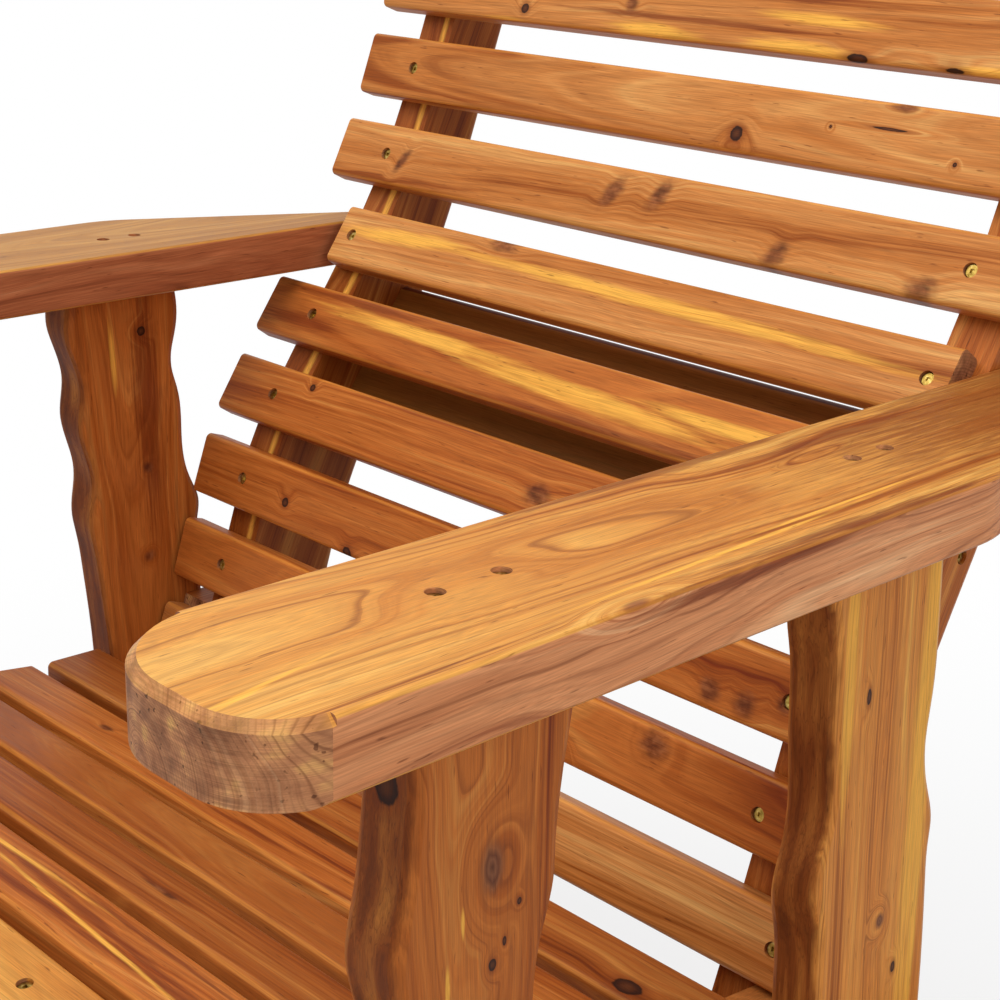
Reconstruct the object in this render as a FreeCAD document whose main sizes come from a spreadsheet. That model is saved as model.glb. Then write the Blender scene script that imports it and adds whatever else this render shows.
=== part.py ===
"""Slat back glider: a cedar chair hung on four steel links from a floor base.

Frame: +X to the sitter's left, -Y to the front, +Z up, millimetres.
The origin is on the floor, under the middle of the base.
"""
import FreeCAD
import Part
import math
import os
import Sketcher
from collections import namedtuple
from FreeCAD import Placement, Rotation, Vector

# Driving dimensions, each one a cell of the sheet
SIZES = {
    # Timber stock
    "timber": 38.0,
    "slat_height": 52.4,
    "slat_thickness": 22.0,
    "slat_round": 5.0,
    "slat_end_gap": 4.5,
    # Back: clear width between the uprights, and the lowest slat's face centre
    "uprights_apart": 567.0,
    "back_gap": 24.0,
    "back_start_y": 56.0,
    "back_start_z": 392.0,
    # Lean of each back slat from vertical, in degrees, from the bottom up
    "back_lean_1": 22.0,
    "back_lean_2": 19.0,
    "back_lean_3": 21.0,
    "back_lean_4": 35.0,
    "back_lean_5": 37.0,
    "back_lean_6": 36.0,
    "back_lean_7": 28.0,
    "back_lean_8": 22.0,
    "back_lean_9": 22.0,
    "back_screw_inset": 10.5,
    "arm_slat_gap": 10.5,
    "upright_top_depth": 60.0,
    "upright_low_depth": 92.0,
    "upright_top_end": 8.0,
    "upright_foot_z": 292.0,
    "upright_round": 8.0,
    "cross_rail_height": 154.2,
    "cross_rail_setback": 46.0,
    "cross_rail_drop": 10.9,
    "cross_screw_rise": 50.0,
    # Seat: face centre of the rearmost slat, and each slat's lean from the rear forward
    "seat_gap": 11.6,
    "seat_start_y": -29.0,
    "seat_start_z": 394.0,
    "seat_lean_1": 93.0,
    "seat_lean_2": 99.5,
    "seat_lean_3": 104.0,
    "seat_lean_4": 105.0,
    "seat_lean_5": 96.0,
    "seat_lean_6": 88.0,
    "rail_front_z": 335.0,
    "rail_rear_z": 290.0,
    "rail_rear_y": 152.0,
    "rail_top_end": 8.0,
    "rail_screw_inset": 10.0,
    "stretcher_height": 70.0,
    "stretcher_screws_apart": 36.0,
    "stretcher_screw_offset": 11.0,
    "front_screw_x": 108.0,
    # Arms: top face height over the origin, slope down to the rear, outline
    "arm_top_z": 739.2,
    "arm_slope": 1.8,
    "arm_width": 128.5,
    "arm_front_y": -419.0,
    "arm_inner_corner": 60.0,
    "arm_outer_corner": 44.0,
    "arm_corner_turn": 9.0,
    "arm_bevel": 4.6,
    "arm_taper_y": 68.0,
    "arm_taper_round": 90.0,
    "arm_rear_y": 288.0,
    "arm_rear_width": 31.5,
    "arm_round": 3.0,
    "front_arm_screws_y": -245.5,
    "front_arm_screws_apart": 41.0,
    "rear_arm_screws_y": 57.5,
    "rear_arm_screws_apart": 30.0,
    "arm_joint_setback": 19.0,
    "arm_joint_rise": 4.0,
    # Posts: live-edge boards and their pivot line
    "front_post_y": -258.0,
    "rear_post_y": 66.0,
    "post_round": 6.0,
    "post_end": 28.0,
    "front_bolts_y": -247.5,
    "front_bolts_apart": 44.0,
    "rear_bolts_apart": 52.0,
    "upright_bolt_y": 134.0,
    # Glider links and pivots
    "link_length": 165.0,
    "link_width": 30.0,
    "link_thickness": 4.8,
    "link_gap": 14.0,
    "link_play": 0.3,
    "swing": 20.0,
    "pivot_over_sled": 29.0,
    "bushing_wall": 2.0,
    "running_fit": 0.05,
    # Floor base
    "sled_length": 850.0,
    "sled_height": 89.0,
    "sled_toe": 30.0,
    "leg_width": 89.0,
    "leg_clearance": 8.0,
    "top_rail_height": 80.0,
    "pivot_edge": 35.0,
    "base_stretcher_height": 70.0,
    "base_stretcher_z": 8.0,
    "base_round": 4.0,
    "dowel_radius": 6.0,
    "dowel_depth": 30.0,
    "dowels_apart": 44.0,
    # Fasteners
    "screw_radius": 2.1,
    "screw_head_radius": 4.5,
    "screw_head_height": 2.6,
    "screw_drive": 2.8,
    "screw_tip": 6.0,
    "slat_screw_length": 45.0,
    "long_screw_length": 70.0,
    "screw_recess": 5.0,
    "recess_radius": 5.2,
    "bolt_radius": 5.0,
    "bolt_head_radius": 10.0,
    "bolt_head_height": 4.5,
    "bolt_recess": 6.0,
    "bolt_end": 2.0,
    "washer_radius": 11.0,
    "washer_thickness": 1.6,
    "nut_radius": 9.2,
    "nut_height": 8.0,
    "thin_nut_height": 5.0,
    "hole_clearance": 0.1,
    "head_clearance": 1.0,
}

BACK_SLATS = 9
SEAT_SLATS = 6
SHORT_SLAT = 6          # counted from the bottom, it sits between the two arms
CROSS_RAIL_COUNT = 5    # slats up to the one that the cross rail lies behind
SIDES = {"right": 1, "left": -1}
DRILL_REACH = 200.0     # long enough to leave any board from inside it
EDGE_STEPS = 40

doc = FreeCAD.newDocument("glider")
sheet = doc.addObject("Spreadsheet::Sheet", "sizes")
for row, (alias, value) in enumerate(SIZES.items(), 1):
    sheet.set(f"A{row}", alias)
    sheet.set(f"B{row}", str(value))
    sheet.setAlias(f"B{row}", alias)
doc.recompute()

nodes = []


def size(alias):
    """A driving dimension, read from the sheet."""
    return float(sheet.get(alias))


def along(lean):
    """Unit vector up a board's face that leans back from vertical by lean degrees."""
    return Vector(0, math.sin(math.radians(lean)), math.cos(math.radians(lean)))


def facing(lean):
    """Unit vector out of that face, towards the sitter."""
    return Vector(0, -math.cos(math.radians(lean)), math.sin(math.radians(lean)))


def walk(start, leans, pitch):
    """Face centres of boards laid one after another along a curve."""
    centres = [start]
    for first, second in zip(leans, leans[1:]):
        centres.append(centres[-1] + along((first + second) / 2) * pitch)
    return centres


def keep(item, label):
    """Makes a document object one of the chair's pieces."""
    item.Label = label
    nodes.append(item)
    return item


# Places worked out from the driving dimensions
timber = size("timber")
slat_height = size("slat_height")
slat_thickness = size("slat_thickness")
back_leans = [size(f"back_lean_{i}") for i in range(1, BACK_SLATS + 1)]
seat_leans = [size(f"seat_lean_{i}") for i in range(1, SEAT_SLATS + 1)]
back_start = Vector(0, size("back_start_y"), size("back_start_z"))
seat_start = Vector(0, size("seat_start_y"), size("seat_start_z"))
back_faces = walk(back_start, back_leans, slat_height + size("back_gap"))
seat_faces = walk(seat_start, seat_leans, -slat_height - size("seat_gap"))
back_seats = [p - facing(a) * slat_thickness for p, a in zip(back_faces, back_leans)]
seat_seats = [p - facing(a) * slat_thickness for p, a in zip(seat_faces, seat_leans)]

upright_in = size("uprights_apart") / 2
upright_out = upright_in + timber
rail_out = upright_out + timber
post_out = rail_out + timber
base_in = post_out + size("link_gap")
base_out = base_in + timber

lower_pivot_z = size("sled_height") + size("pivot_over_sled")
upper_pivot_z = lower_pivot_z + size("link_length")
post_foot_z = lower_pivot_z - size("post_end")
top_rail_top = upper_pivot_z + size("pivot_edge")
leg_top = top_rail_top - size("top_rail_height")
link_travel = size("link_length") * math.sin(math.radians(size("swing")))
leg_reach = link_travel + size("nut_radius") + size("leg_clearance") + size("leg_width") / 2
leg_ys = {"front": size("front_post_y") - leg_reach, "rear": size("rear_post_y") + leg_reach}
post_ys = {"front": size("front_post_y"), "rear": size("rear_post_y")}

back_screw_x = upright_in + size("back_screw_inset")
low_screw_x = upright_out + size("rail_screw_inset")
rail_mid_x = upright_out + timber / 2
post_mid_x = rail_out + timber / 2
arm_rotation = Rotation(Vector(1, 0, 0), -size("arm_slope"))
arm_down = arm_rotation.multVec(Vector(0, 0, -1))


def arm_top(y):
    """Height of an arm's top face over y."""
    return size("arm_top_z") - y * math.tan(math.radians(size("arm_slope")))


def arm_under(y):
    """Height of an arm's underside over y."""
    return arm_top(y) - timber / math.cos(math.radians(size("arm_slope")))


# Drawing helpers
def plane(body, role):
    """One of a body's own origin planes."""
    return next(f for f in body.Origin.OriginFeatures if f.Role == role)


def add_sketch(body, role, name, offset=None):
    """A sketch on an origin plane, moved along the plane's normal by a sheet formula."""
    sketch = body.newObject("Sketcher::SketchObject", f"{body.Name}_{name}")
    sketch.AttachmentSupport = [(plane(body, role), "")]
    sketch.MapMode = "FlatFace"
    if offset:
        sketch.setExpression("AttachmentOffset.Base.z", offset)
    return sketch


def polyline(points):
    """Line segments through points, in sketch coordinates."""
    return [Part.LineSegment(a, b) for a, b in zip(points, points[1:])]


def spline(points):
    """A smooth curve through points."""
    curve = Part.BSplineCurve()
    curve.interpolate(points)
    return curve


def flat(point):
    """A side-view point (y, z) as sketch coordinates on the YZ plane."""
    return Vector(point.y, point.z, 0)


def pad(body, sketch, length, backwards=False):
    """Extrudes a sketch by a sheet formula."""
    feature = body.newObject("PartDesign::Pad", f"{body.Name}_pad")
    feature.Profile = sketch
    feature.setExpression("Length", length)
    feature.Reversed = backwards
    doc.recompute()
    return feature


def profile_body(label, role, geometry, thickness, backwards=False):
    """A board sawn to an outline."""
    body = doc.addObject("PartDesign::Body", f"{label}_body")
    sketch = add_sketch(body, role, "outline")
    sketch.addGeometry(geometry, False)
    pad(body, sketch, thickness, backwards)
    return body


def rectangle_body(label, role, width, height, thickness, backwards=False):
    """A planed board whose rectangle is centred on the origin and bound to sheet formulas."""
    body = doc.addObject("PartDesign::Body", f"{label}_body")
    sketch = add_sketch(body, role, "outline")
    corners = [Vector(-5, -5), Vector(5, -5), Vector(5, 5), Vector(-5, 5), Vector(-5, -5)]
    sketch.addGeometry(polyline(corners), False)
    for line in range(4):
        sketch.addConstraint(Sketcher.Constraint("Coincident", line, 2, (line + 1) % 4, 1))
        direction = "Vertical" if line % 2 else "Horizontal"
        sketch.addConstraint(Sketcher.Constraint(direction, line))
    sketch.addConstraint(Sketcher.Constraint("Symmetric", 0, 1, 1, 2, -1, 1))
    for name, line, formula in (("width", 0, width), ("height", 1, height)):
        index = sketch.addConstraint(Sketcher.Constraint("Distance", line, 10.0))
        sketch.renameConstraint(index, name)
        sketch.setExpression(f"Constraints.{name}", formula)
    pad(body, sketch, thickness, backwards)
    return body


def round_edges(body, radius, wanted):
    """Rounds the edges of a body that a test picks out."""
    base = body.Tip
    names = [f"Edge{i}" for i, edge in enumerate(base.Shape.Edges, 1) if wanted(edge)]
    fillet = body.newObject("PartDesign::Fillet", f"{body.Name}_round")
    fillet.Base = (base, names)
    fillet.setExpression("Radius", radius)
    doc.recompute()
    if not fillet.Shape.isValid() or not 0.8 * base.Shape.Volume < fillet.Shape.Volume:
        raise RuntimeError(f"{fillet.Name} is not sound")


def runs_along(axis):
    """A test for straight edges along an axis."""
    def test(edge):
        if edge.Curve.TypeId != "Part::GeomLine":
            return False
        return abs(edge.tangentAt(edge.FirstParameter).dot(axis)) > 0.999
    return test


def pocket(body, role, name, centres, radius, depth=None, offset=None, forwards=False):
    """Round holes from an origin plane, or from a plane at an offset, depth deep or right through."""
    before = body.Tip.Shape.Volume
    sketch = add_sketch(body, role, name, offset)
    for x, y in centres:
        index = sketch.addGeometry(Part.Circle(Vector(x, y), Vector(0, 0, 1), 1.0), False)
        constraint = sketch.addConstraint(Sketcher.Constraint("Radius", index, 1.0))
        sketch.setExpression(f"Constraints[{constraint}]", radius)
        sketch.addConstraint(Sketcher.Constraint("Block", index))
    feature = body.newObject("PartDesign::Pocket", f"{body.Name}_{name}_pocket")
    feature.Profile = sketch
    feature.Type = "Length" if depth else "ThroughAll"
    if depth:
        feature.setExpression("Length", depth)
    feature.Reversed = forwards
    doc.recompute()
    if body.Tip.Shape.Volume > before - 1:
        raise RuntimeError(f"{feature.Name} cuts nothing")


def cylinder(start, direction, radius, height):
    """A round bar from start along direction; radius and height are sheet formulas."""
    bar = doc.addObject("Part::Cylinder", "bar")
    bar.setExpression("Radius", radius)
    bar.setExpression("Height", height)
    bar.Placement = Placement(start, Rotation(Vector(0, 0, 1), direction))
    return bar


def drilled(base, *stages):
    """Cuts round bars out of a piece; the bars of one stage lie apart."""
    for bars in stages:
        tool = doc.addObject("Part::Compound", "drills")
        tool.Links = bars
        cut = doc.addObject("Part::Cut", "drilled")
        cut.Base = base
        cut.Tool = tool
        base = cut
    return base


def group(label, master, placements):
    """Like fasteners as one piece: separate solids, each at its own place."""
    solids = []
    for placement in placements:
        solid = master.Shape.copy()
        solid.Placement = placement
        solids.append(solid)
    feature = doc.addObject("Part::Feature", label)
    feature.Shape = Part.makeCompound(solids)
    return keep(feature, label)


def driven(seat, direction):
    """Placement of a screw or bolt whose head's underside is at seat."""
    return Placement(seat, Rotation(Vector(0, 0, 1), direction))


PILOT = "sizes.screw_radius + sizes.hole_clearance"
SLAT_LENGTH = "sizes.uprights_apart + 4 * sizes.timber - 2 * sizes.slat_end_gap"
BOLT_HOLE = "sizes.bolt_radius + sizes.hole_clearance"
HEAD_HOLE = "sizes.bolt_head_radius + sizes.head_clearance"


# Fastener masters, each along +Z from the underside of its head
def make_screw(name, length):
    """A wood screw with a round head and a square drive."""
    head = cylinder(Vector(0, 0, -size("screw_head_height")), Vector(0, 0, 1),
                    "sizes.screw_head_radius", "sizes.screw_head_height")
    shank = cylinder(Vector(), Vector(0, 0, 1), "sizes.screw_radius", f"{length} - sizes.screw_tip")
    tip = doc.addObject("Part::Cone", "tip")
    tip.setExpression("Radius1", "sizes.screw_radius")
    tip.setExpression("Radius2", "sizes.screw_radius / 8")
    tip.setExpression("Height", "sizes.screw_tip")
    tip.setExpression("Placement.Base.z", f"{length} - sizes.screw_tip")
    whole = doc.addObject("Part::MultiFuse", f"{name}_whole")
    whole.Shapes = [head, shank, tip]
    drive = doc.addObject("Part::Box", "drive")
    for side in ("Length", "Width"):
        drive.setExpression(side, "sizes.screw_drive")
    drive.setExpression("Height", "sizes.screw_head_height / 2")
    drive.setExpression("Placement.Base.x", "-sizes.screw_drive / 2")
    drive.setExpression("Placement.Base.y", "-sizes.screw_drive / 2")
    drive.setExpression("Placement.Base.z", "-sizes.screw_head_height")
    screw = doc.addObject("Part::Cut", name)
    screw.Base = whole
    screw.Tool = drive
    return screw


def make_bolt(name, length):
    """A bolt with a low domed head."""
    rim = cylinder(Vector(0, 0, -size("bolt_head_height") / 2), Vector(0, 0, 1),
                   "sizes.bolt_head_radius", "sizes.bolt_head_height / 2")
    crown = doc.addObject("Part::Cone", "crown")
    crown.setExpression("Radius1", "sizes.bolt_head_radius * 0.6")
    crown.setExpression("Radius2", "sizes.bolt_head_radius")
    crown.setExpression("Height", "sizes.bolt_head_height / 2")
    crown.setExpression("Placement.Base.z", "-sizes.bolt_head_height")
    shank = cylinder(Vector(), Vector(0, 0, 1), "sizes.bolt_radius", length)
    bolt = doc.addObject("Part::MultiFuse", name)
    bolt.Shapes = [crown, rim, shank]
    return bolt


def make_nut(name, height):
    """A hexagon nut with a plain bore, seated on the plane z = 0."""
    hexagon = doc.addObject("Part::Prism", "hexagon")
    hexagon.Polygon = 6
    hexagon.setExpression("Circumradius", "sizes.nut_radius")
    hexagon.setExpression("Height", height)
    bore = cylinder(Vector(), Vector(0, 0, 1), "sizes.bolt_radius + sizes.running_fit", height)
    nut = doc.addObject("Part::Cut", name)
    nut.Base = hexagon
    nut.Tool = bore
    return nut


def make_ring(name, outer, inner, height):
    """A washer, spacer or bushing, seated on the plane z = 0."""
    rim = cylinder(Vector(), Vector(0, 0, 1), outer, height)
    bore = cylinder(Vector(), Vector(0, 0, 1), inner, height)
    ring = doc.addObject("Part::Cut", name)
    ring.Base = rim
    ring.Tool = bore
    return ring


NUT_STACK = "sizes.washer_thickness + sizes.nut_height + sizes.bolt_end - sizes.bolt_recess"
SPACER = ("sizes.link_gap - sizes.washer_thickness - 2 * sizes.link_play"
          " - sizes.link_thickness")
LINK_STACK = "2 * sizes.link_play + sizes.link_thickness + sizes.thin_nut_height"
slat_screw = make_screw("slat_screw", "sizes.slat_screw_length")
long_screw = make_screw("long_screw", "sizes.long_screw_length")
two_layer_bolt = make_bolt("two_layer_bolt", f"2 * sizes.timber + {NUT_STACK}")
three_layer_bolt = make_bolt("three_layer_bolt", f"3 * sizes.timber + {NUT_STACK}")
upper_bolt = make_bolt(
    "upper_bolt", f"sizes.timber - sizes.bolt_recess + sizes.washer_thickness + {LINK_STACK}")
lower_bolt = make_bolt(
    "lower_bolt", f"sizes.timber - sizes.bolt_recess + {SPACER} + {LINK_STACK}")
nut = make_nut("nut", "sizes.nut_height")
thin_nut = make_nut("thin_nut", "sizes.thin_nut_height")
washer = make_ring("washer", "sizes.washer_radius", "sizes.bolt_radius + sizes.running_fit",
                   "sizes.washer_thickness")
spacer = make_ring("spacer", "sizes.washer_radius", "sizes.bolt_radius + sizes.running_fit", SPACER)
bushing = make_ring("bushing", "sizes.bolt_radius + sizes.running_fit + sizes.bushing_wall",
                    "sizes.bolt_radius + sizes.running_fit", "sizes.link_thickness")
doc.recompute()


# Slats
def make_slat(label, length, screw_xs, face, lean):
    """A rounded slat at its place, with recessed screw holes through its face."""
    body = rectangle_body(label, "XZ_Plane", length, "sizes.slat_height", "sizes.slat_thickness", True)
    round_edges(body, "sizes.slat_round", runs_along(Vector(1, 0, 0)))
    if screw_xs:
        centres = [(x, 0) for x in screw_xs]
        pocket(body, "XZ_Plane", "recess", centres, "sizes.recess_radius", "sizes.screw_recess")
        pocket(body, "XZ_Plane", "pilot", centres, PILOT)
    body.Placement = Placement(face, Rotation(Vector(1, 0, 0), -lean))
    return body


short_length = "sizes.uprights_apart + 2 * sizes.timber - 2 * sizes.arm_slat_gap"
back_screws = []
for i, (face, lean) in enumerate(zip(back_faces, back_leans), 1):
    x = low_screw_x if i == 1 else back_screw_x
    length = short_length if i == SHORT_SLAT else SLAT_LENGTH
    keep(make_slat(f"back_slat_{i}", length, [-x, x], face, lean), f"back_slat_{i}")
    for side in SIDES.values():
        seat = face - facing(lean) * size("screw_recess") + Vector(side * x, 0, 0)
        back_screws.append(driven(seat, facing(lean) * -1))
group("back_slat_screws", slat_screw, back_screws)

# Seat slats are screwed from below; the front one is also screwed to the stretcher under it
seat_screws = []
hold = size("slat_screw_length") - (slat_thickness - size("screw_recess"))
for i, (face, lean) in enumerate(zip(seat_faces, seat_leans), 1):
    front = i == SEAT_SLATS
    xs = [-size("front_screw_x"), size("front_screw_x")] if front else []
    slat = make_slat(f"seat_slat_{i}", SLAT_LENGTH, xs, face, lean)
    bars = []
    for side in SIDES.values():
        under = seat_seats[i - 1] + Vector(side * rail_mid_x, 0, 0)
        bars.append(cylinder(under, facing(lean), PILOT,
                             "sizes.slat_thickness - sizes.screw_recess + sizes.hole_clearance"))
        seat_screws.append(driven(under - facing(lean) * hold, facing(lean)))
        if front:
            top = face - facing(lean) * size("screw_recess")
            seat_screws.append(driven(top + Vector(side * xs[1], 0, 0), facing(lean) * -1))
    keep(drilled(slat, bars), f"seat_slat_{i}")
group("seat_slat_screws", slat_screw, seat_screws)


# Side outlines that seat the slats
def seat_ends(point, lean):
    """Both ends of the flat that a slat sits on."""
    half = along(lean) * (slat_height / 2)
    return [point - half, point + half]


def upright_outline():
    """Front flats for the slats, a smooth swelling rear edge and square ends."""
    front = []
    for point, lean in zip(back_seats, back_leans):
        front += seat_ends(point, lean)
    foot_run = (front[0].z - size("upright_foot_z")) / along(back_leans[0]).z
    front.insert(0, front[0] - along(back_leans[0]) * foot_run)
    front.append(front[-1] + along(back_leans[-1]) * size("upright_top_end"))
    rear = []
    for i, (point, lean) in enumerate(zip(back_seats, back_leans)):
        share = min(max((BACK_SLATS - 2 - i) / (BACK_SLATS / 2), 0.0), 1.0)
        swell = share * share * (3 - 2 * share)
        depth = size("upright_top_depth")
        depth += (size("upright_low_depth") - depth) * swell
        rear.append(point - facing(lean) * depth)
    foot_run = (rear[0].z - size("upright_foot_z")) / along(back_leans[0]).z
    rear.insert(0, rear[0] - along(back_leans[0]) * foot_run)
    rear[-1] = front[-1] - facing(back_leans[-1]) * size("upright_top_depth")
    front = [flat(p) for p in front]
    rear = [flat(p) for p in rear]
    ends = [Part.LineSegment(front[-1], rear[-1]), Part.LineSegment(rear[0], front[0])]
    return polyline(front) + ends + [spline(rear)]


rail_top_points = []
for point, lean in reversed(list(zip(seat_seats, seat_leans))):
    rail_top_points += seat_ends(point, lean)
rail_front_y = rail_top_points[0].y
rail_top_points += seat_ends(back_seats[0], back_leans[0])
rail_top_points.append(rail_top_points[-1] + along(back_leans[0]) * size("rail_top_end"))


def rail_top(y):
    """Height of a seat rail's top edge over y, ahead of the back."""
    for a, b in zip(rail_top_points, rail_top_points[1:]):
        if a.y <= y <= b.y:
            return a.z + (b.z - a.z) * (y - a.y) / (b.y - a.y)
    return rail_top_points[-1].z


def rail_bottom(y):
    """Height of a seat rail's straight lower edge over y."""
    share = (y - rail_front_y) / (size("rail_rear_y") - rail_front_y)
    return size("rail_front_z") + (size("rail_rear_z") - size("rail_front_z")) * share


def rail_outline():
    """Top flats for the seat slats and the lowest back slat, over a straight lower edge."""
    points = [flat(p) for p in rail_top_points]
    points.append(Vector(size("rail_rear_y"), points[-1].y))
    points.append(Vector(size("rail_rear_y"), size("rail_rear_z")))
    points.append(Vector(rail_front_y, size("rail_front_z")))
    points.append(points[0])
    return polyline(points)


def mid_rail(y):
    """Middle of a seat rail's depth over y."""
    low = rail_bottom(y)
    return low + (rail_top(y) - low) / 2


# Bolted joints of the side frames, as (y, z) in side view
front_mid = mid_rail(size("front_bolts_y"))
front_bolts = [(size("front_bolts_y"), front_mid + sign * size("front_bolts_apart") / 2)
               for sign in (-1, 1)]
bolt_line_z = mid_rail(size("rear_post_y") - size("rear_bolts_apart") / 2)
rear_rail_bolt = (size("rear_post_y") - size("rear_bolts_apart") / 2, bolt_line_z)
rear_upright_bolt = (size("rear_post_y") + size("rear_bolts_apart") / 2, bolt_line_z)
upright_bolt = (size("upright_bolt_y"), bolt_line_z)

# Screwed joints of the cross rail, stretchers and arms
cross_seat = back_seats[CROSS_RAIL_COUNT - 1]
cross_lean = back_leans[CROSS_RAIL_COUNT - 1]
cross_face = cross_seat - facing(cross_lean) * size("cross_rail_setback")
cross_face -= along(cross_lean) * size("cross_rail_drop")
cross_mid = cross_face - facing(cross_lean) * (timber / 2)
cross_screws = [cross_mid, cross_mid + along(cross_lean) * size("cross_screw_rise")]
stretcher_screws = []
for point, lean in ((seat_seats[0], seat_leans[0]), (seat_seats[-1], seat_leans[-1])):
    for sign in (-1, 1):
        depth = (size("stretcher_height") + sign * size("stretcher_screws_apart")) / 2
        offset = along(lean) * (sign * size("stretcher_screw_offset"))
        stretcher_screws.append(point - facing(lean) * depth + offset)
arm_joint_y = back_seats[SHORT_SLAT - 1].y + size("arm_joint_setback")
arm_joint_z = (arm_top(arm_joint_y) + arm_under(arm_joint_y)) / 2 + size("arm_joint_rise")
arm_joint = Vector(0, arm_joint_y, arm_joint_z)


def yz(points):
    """Side-view vectors as sketch coordinate pairs."""
    return [(p.y, p.z) for p in points]


def side_x(side, inner, thickness=timber):
    """Lowest x of a board whose inner face is at inner on one side of the chair."""
    return inner if side > 0 else -inner - thickness


def bore_from(body, name, centres, radius, side, outer, depth):
    """Blind holes across a side board, from its outer or its inner face."""
    far = (side > 0) == outer
    offset = "sizes.timber" if far else None
    pocket(body, "YZ_Plane", name, centres, radius, depth, offset, forwards=not far)


def bore_through(body, name, centres, radius):
    """Holes right across a side board."""
    pocket(body, "YZ_Plane", name, centres, radius, forwards=True)


ACROSS = {side: Vector(side, 0, 0) for side in SIDES.values()}


# Uprights
def make_upright(name, side):
    """An S-curved upright with its slat, cross rail, arm and bolt holes."""
    label = f"back_upright_{name}"
    body = profile_body(label, "YZ_Plane", upright_outline(), "sizes.timber")
    round_edges(body, "sizes.upright_round", lambda e: e.Curve.TypeId == "Part::GeomBSplineCurve")
    bore_through(body, "bolts", [rear_upright_bolt, upright_bolt], BOLT_HOLE)
    bore_through(body, "cross", yz(cross_screws), PILOT)
    bore_from(body, "cross_recess", yz(cross_screws), "sizes.recess_radius", side, True,
              "sizes.screw_recess")
    bore_through(body, "arm", yz([arm_joint]), PILOT)
    bore_from(body, "arm_recess", yz([arm_joint]), "sizes.recess_radius", side, False,
              "sizes.screw_recess")
    body.Placement = Placement(Vector(side_x(side, upright_in), 0, 0), Rotation())
    pilots = [
        cylinder(point + Vector(side * back_screw_x, 0, 0), facing(lean) * -1, PILOT,
                 "sizes.slat_screw_length")
        for point, lean in zip(back_seats[1:], back_leans[1:])
    ]
    return drilled(body, pilots)


# Seat rails
def make_rail(name, side):
    """A contoured seat rail with slat screw holes from below and bolt holes across."""
    label = f"seat_rail_{name}"
    body = profile_body(label, "YZ_Plane", rail_outline(), "sizes.timber")
    bolts = front_bolts + [rear_rail_bolt, rear_upright_bolt, upright_bolt]
    bore_through(body, "bolts", bolts, BOLT_HOLE)
    bore_from(body, "bolt_recess", [upright_bolt], HEAD_HOLE, side, True, "sizes.bolt_recess")
    bore_through(body, "stretchers", yz(stretcher_screws), PILOT)
    bore_from(body, "stretcher_recess", yz(stretcher_screws), "sizes.recess_radius", side, True,
              "sizes.screw_recess")
    body.Placement = Placement(Vector(side_x(side, upright_out), 0, 0), Rotation())
    recesses = []
    pilots = []
    for point, lean in zip(seat_seats, seat_leans):
        under = point + Vector(side * rail_mid_x, 0, 0)
        recesses.append(cylinder(under - facing(lean) * hold, facing(lean) * -1,
                                 "sizes.recess_radius", f"{DRILL_REACH}"))
        pilots.append(cylinder(under, facing(lean) * -1, PILOT, f"{DRILL_REACH}"))
    low_pilot = cylinder(back_seats[0] + Vector(side * low_screw_x, 0, 0), facing(back_leans[0]) * -1,
                         PILOT, "sizes.slat_screw_length")
    return drilled(body, recesses, pilots, [low_pilot])


# Arms
def arm_corner(edge, inward, radius, inset=0.0):
    """A rounded front corner of an arm, from its straight edge to the front.

    The round meets the straight edge at a slight angle, and the front without one.
    """
    turn = math.radians(size("arm_corner_turn"))
    centre = Vector(edge + inward * radius * math.cos(turn), size("arm_front_y") + radius)
    whole = math.pi / 2 - turn
    return [centre - Vector(inward * math.sin(angle), math.cos(angle)) * (radius - inset)
            for angle in (whole, whole / 2, 0)]


def arm_taper(outer, rear_corner):
    """The round from an arm's outer edge into its straight taper to the rear corner."""
    radius = size("arm_taper_round")
    centre = Vector(outer - radius, size("arm_taper_y"))
    gap = rear_corner - centre
    turn = math.atan2(gap.y, gap.x) - math.acos(radius / gap.Length)
    return [centre + Vector(math.cos(angle), math.sin(angle)) * radius for angle in (0, turn / 2, turn)]


def arm_curves(side, chain):
    """Lines through two points and arcs through three, on one side of the chair."""
    curves = []
    for points in chain:
        placed = [Vector(side * p.x, p.y) for p in points]
        curves.append(Part.LineSegment(*placed) if len(placed) == 2 else Part.Arc(*placed))
    return curves


def arm_outline(side):
    """A straight inner edge, a rounded front end and an outer edge tapered to the rear."""
    inner = upright_out
    outer = inner + size("arm_width")
    rear = size("arm_rear_y")
    inner_round = arm_corner(inner, 1, size("arm_inner_corner"))
    outer_round = arm_corner(outer, -1, size("arm_outer_corner"))[::-1]
    rear_corner = Vector(inner + size("arm_rear_width"), rear)
    taper = arm_taper(outer, rear_corner)
    return arm_curves(side, [
        (Vector(inner, rear), inner_round[0]), inner_round,
        (inner_round[-1], outer_round[0]), outer_round,
        (outer_round[-1], taper[0]), taper,
        (taper[-1], rear_corner), (rear_corner, Vector(inner, rear)),
    ])


# How far the cut of the bevel runs past the faces that it meets, and past the corners, in mm
BEVEL_REACH = 2.0
BEVEL_STOP = 2.0
BEVEL_WASTE = 20.0


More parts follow.
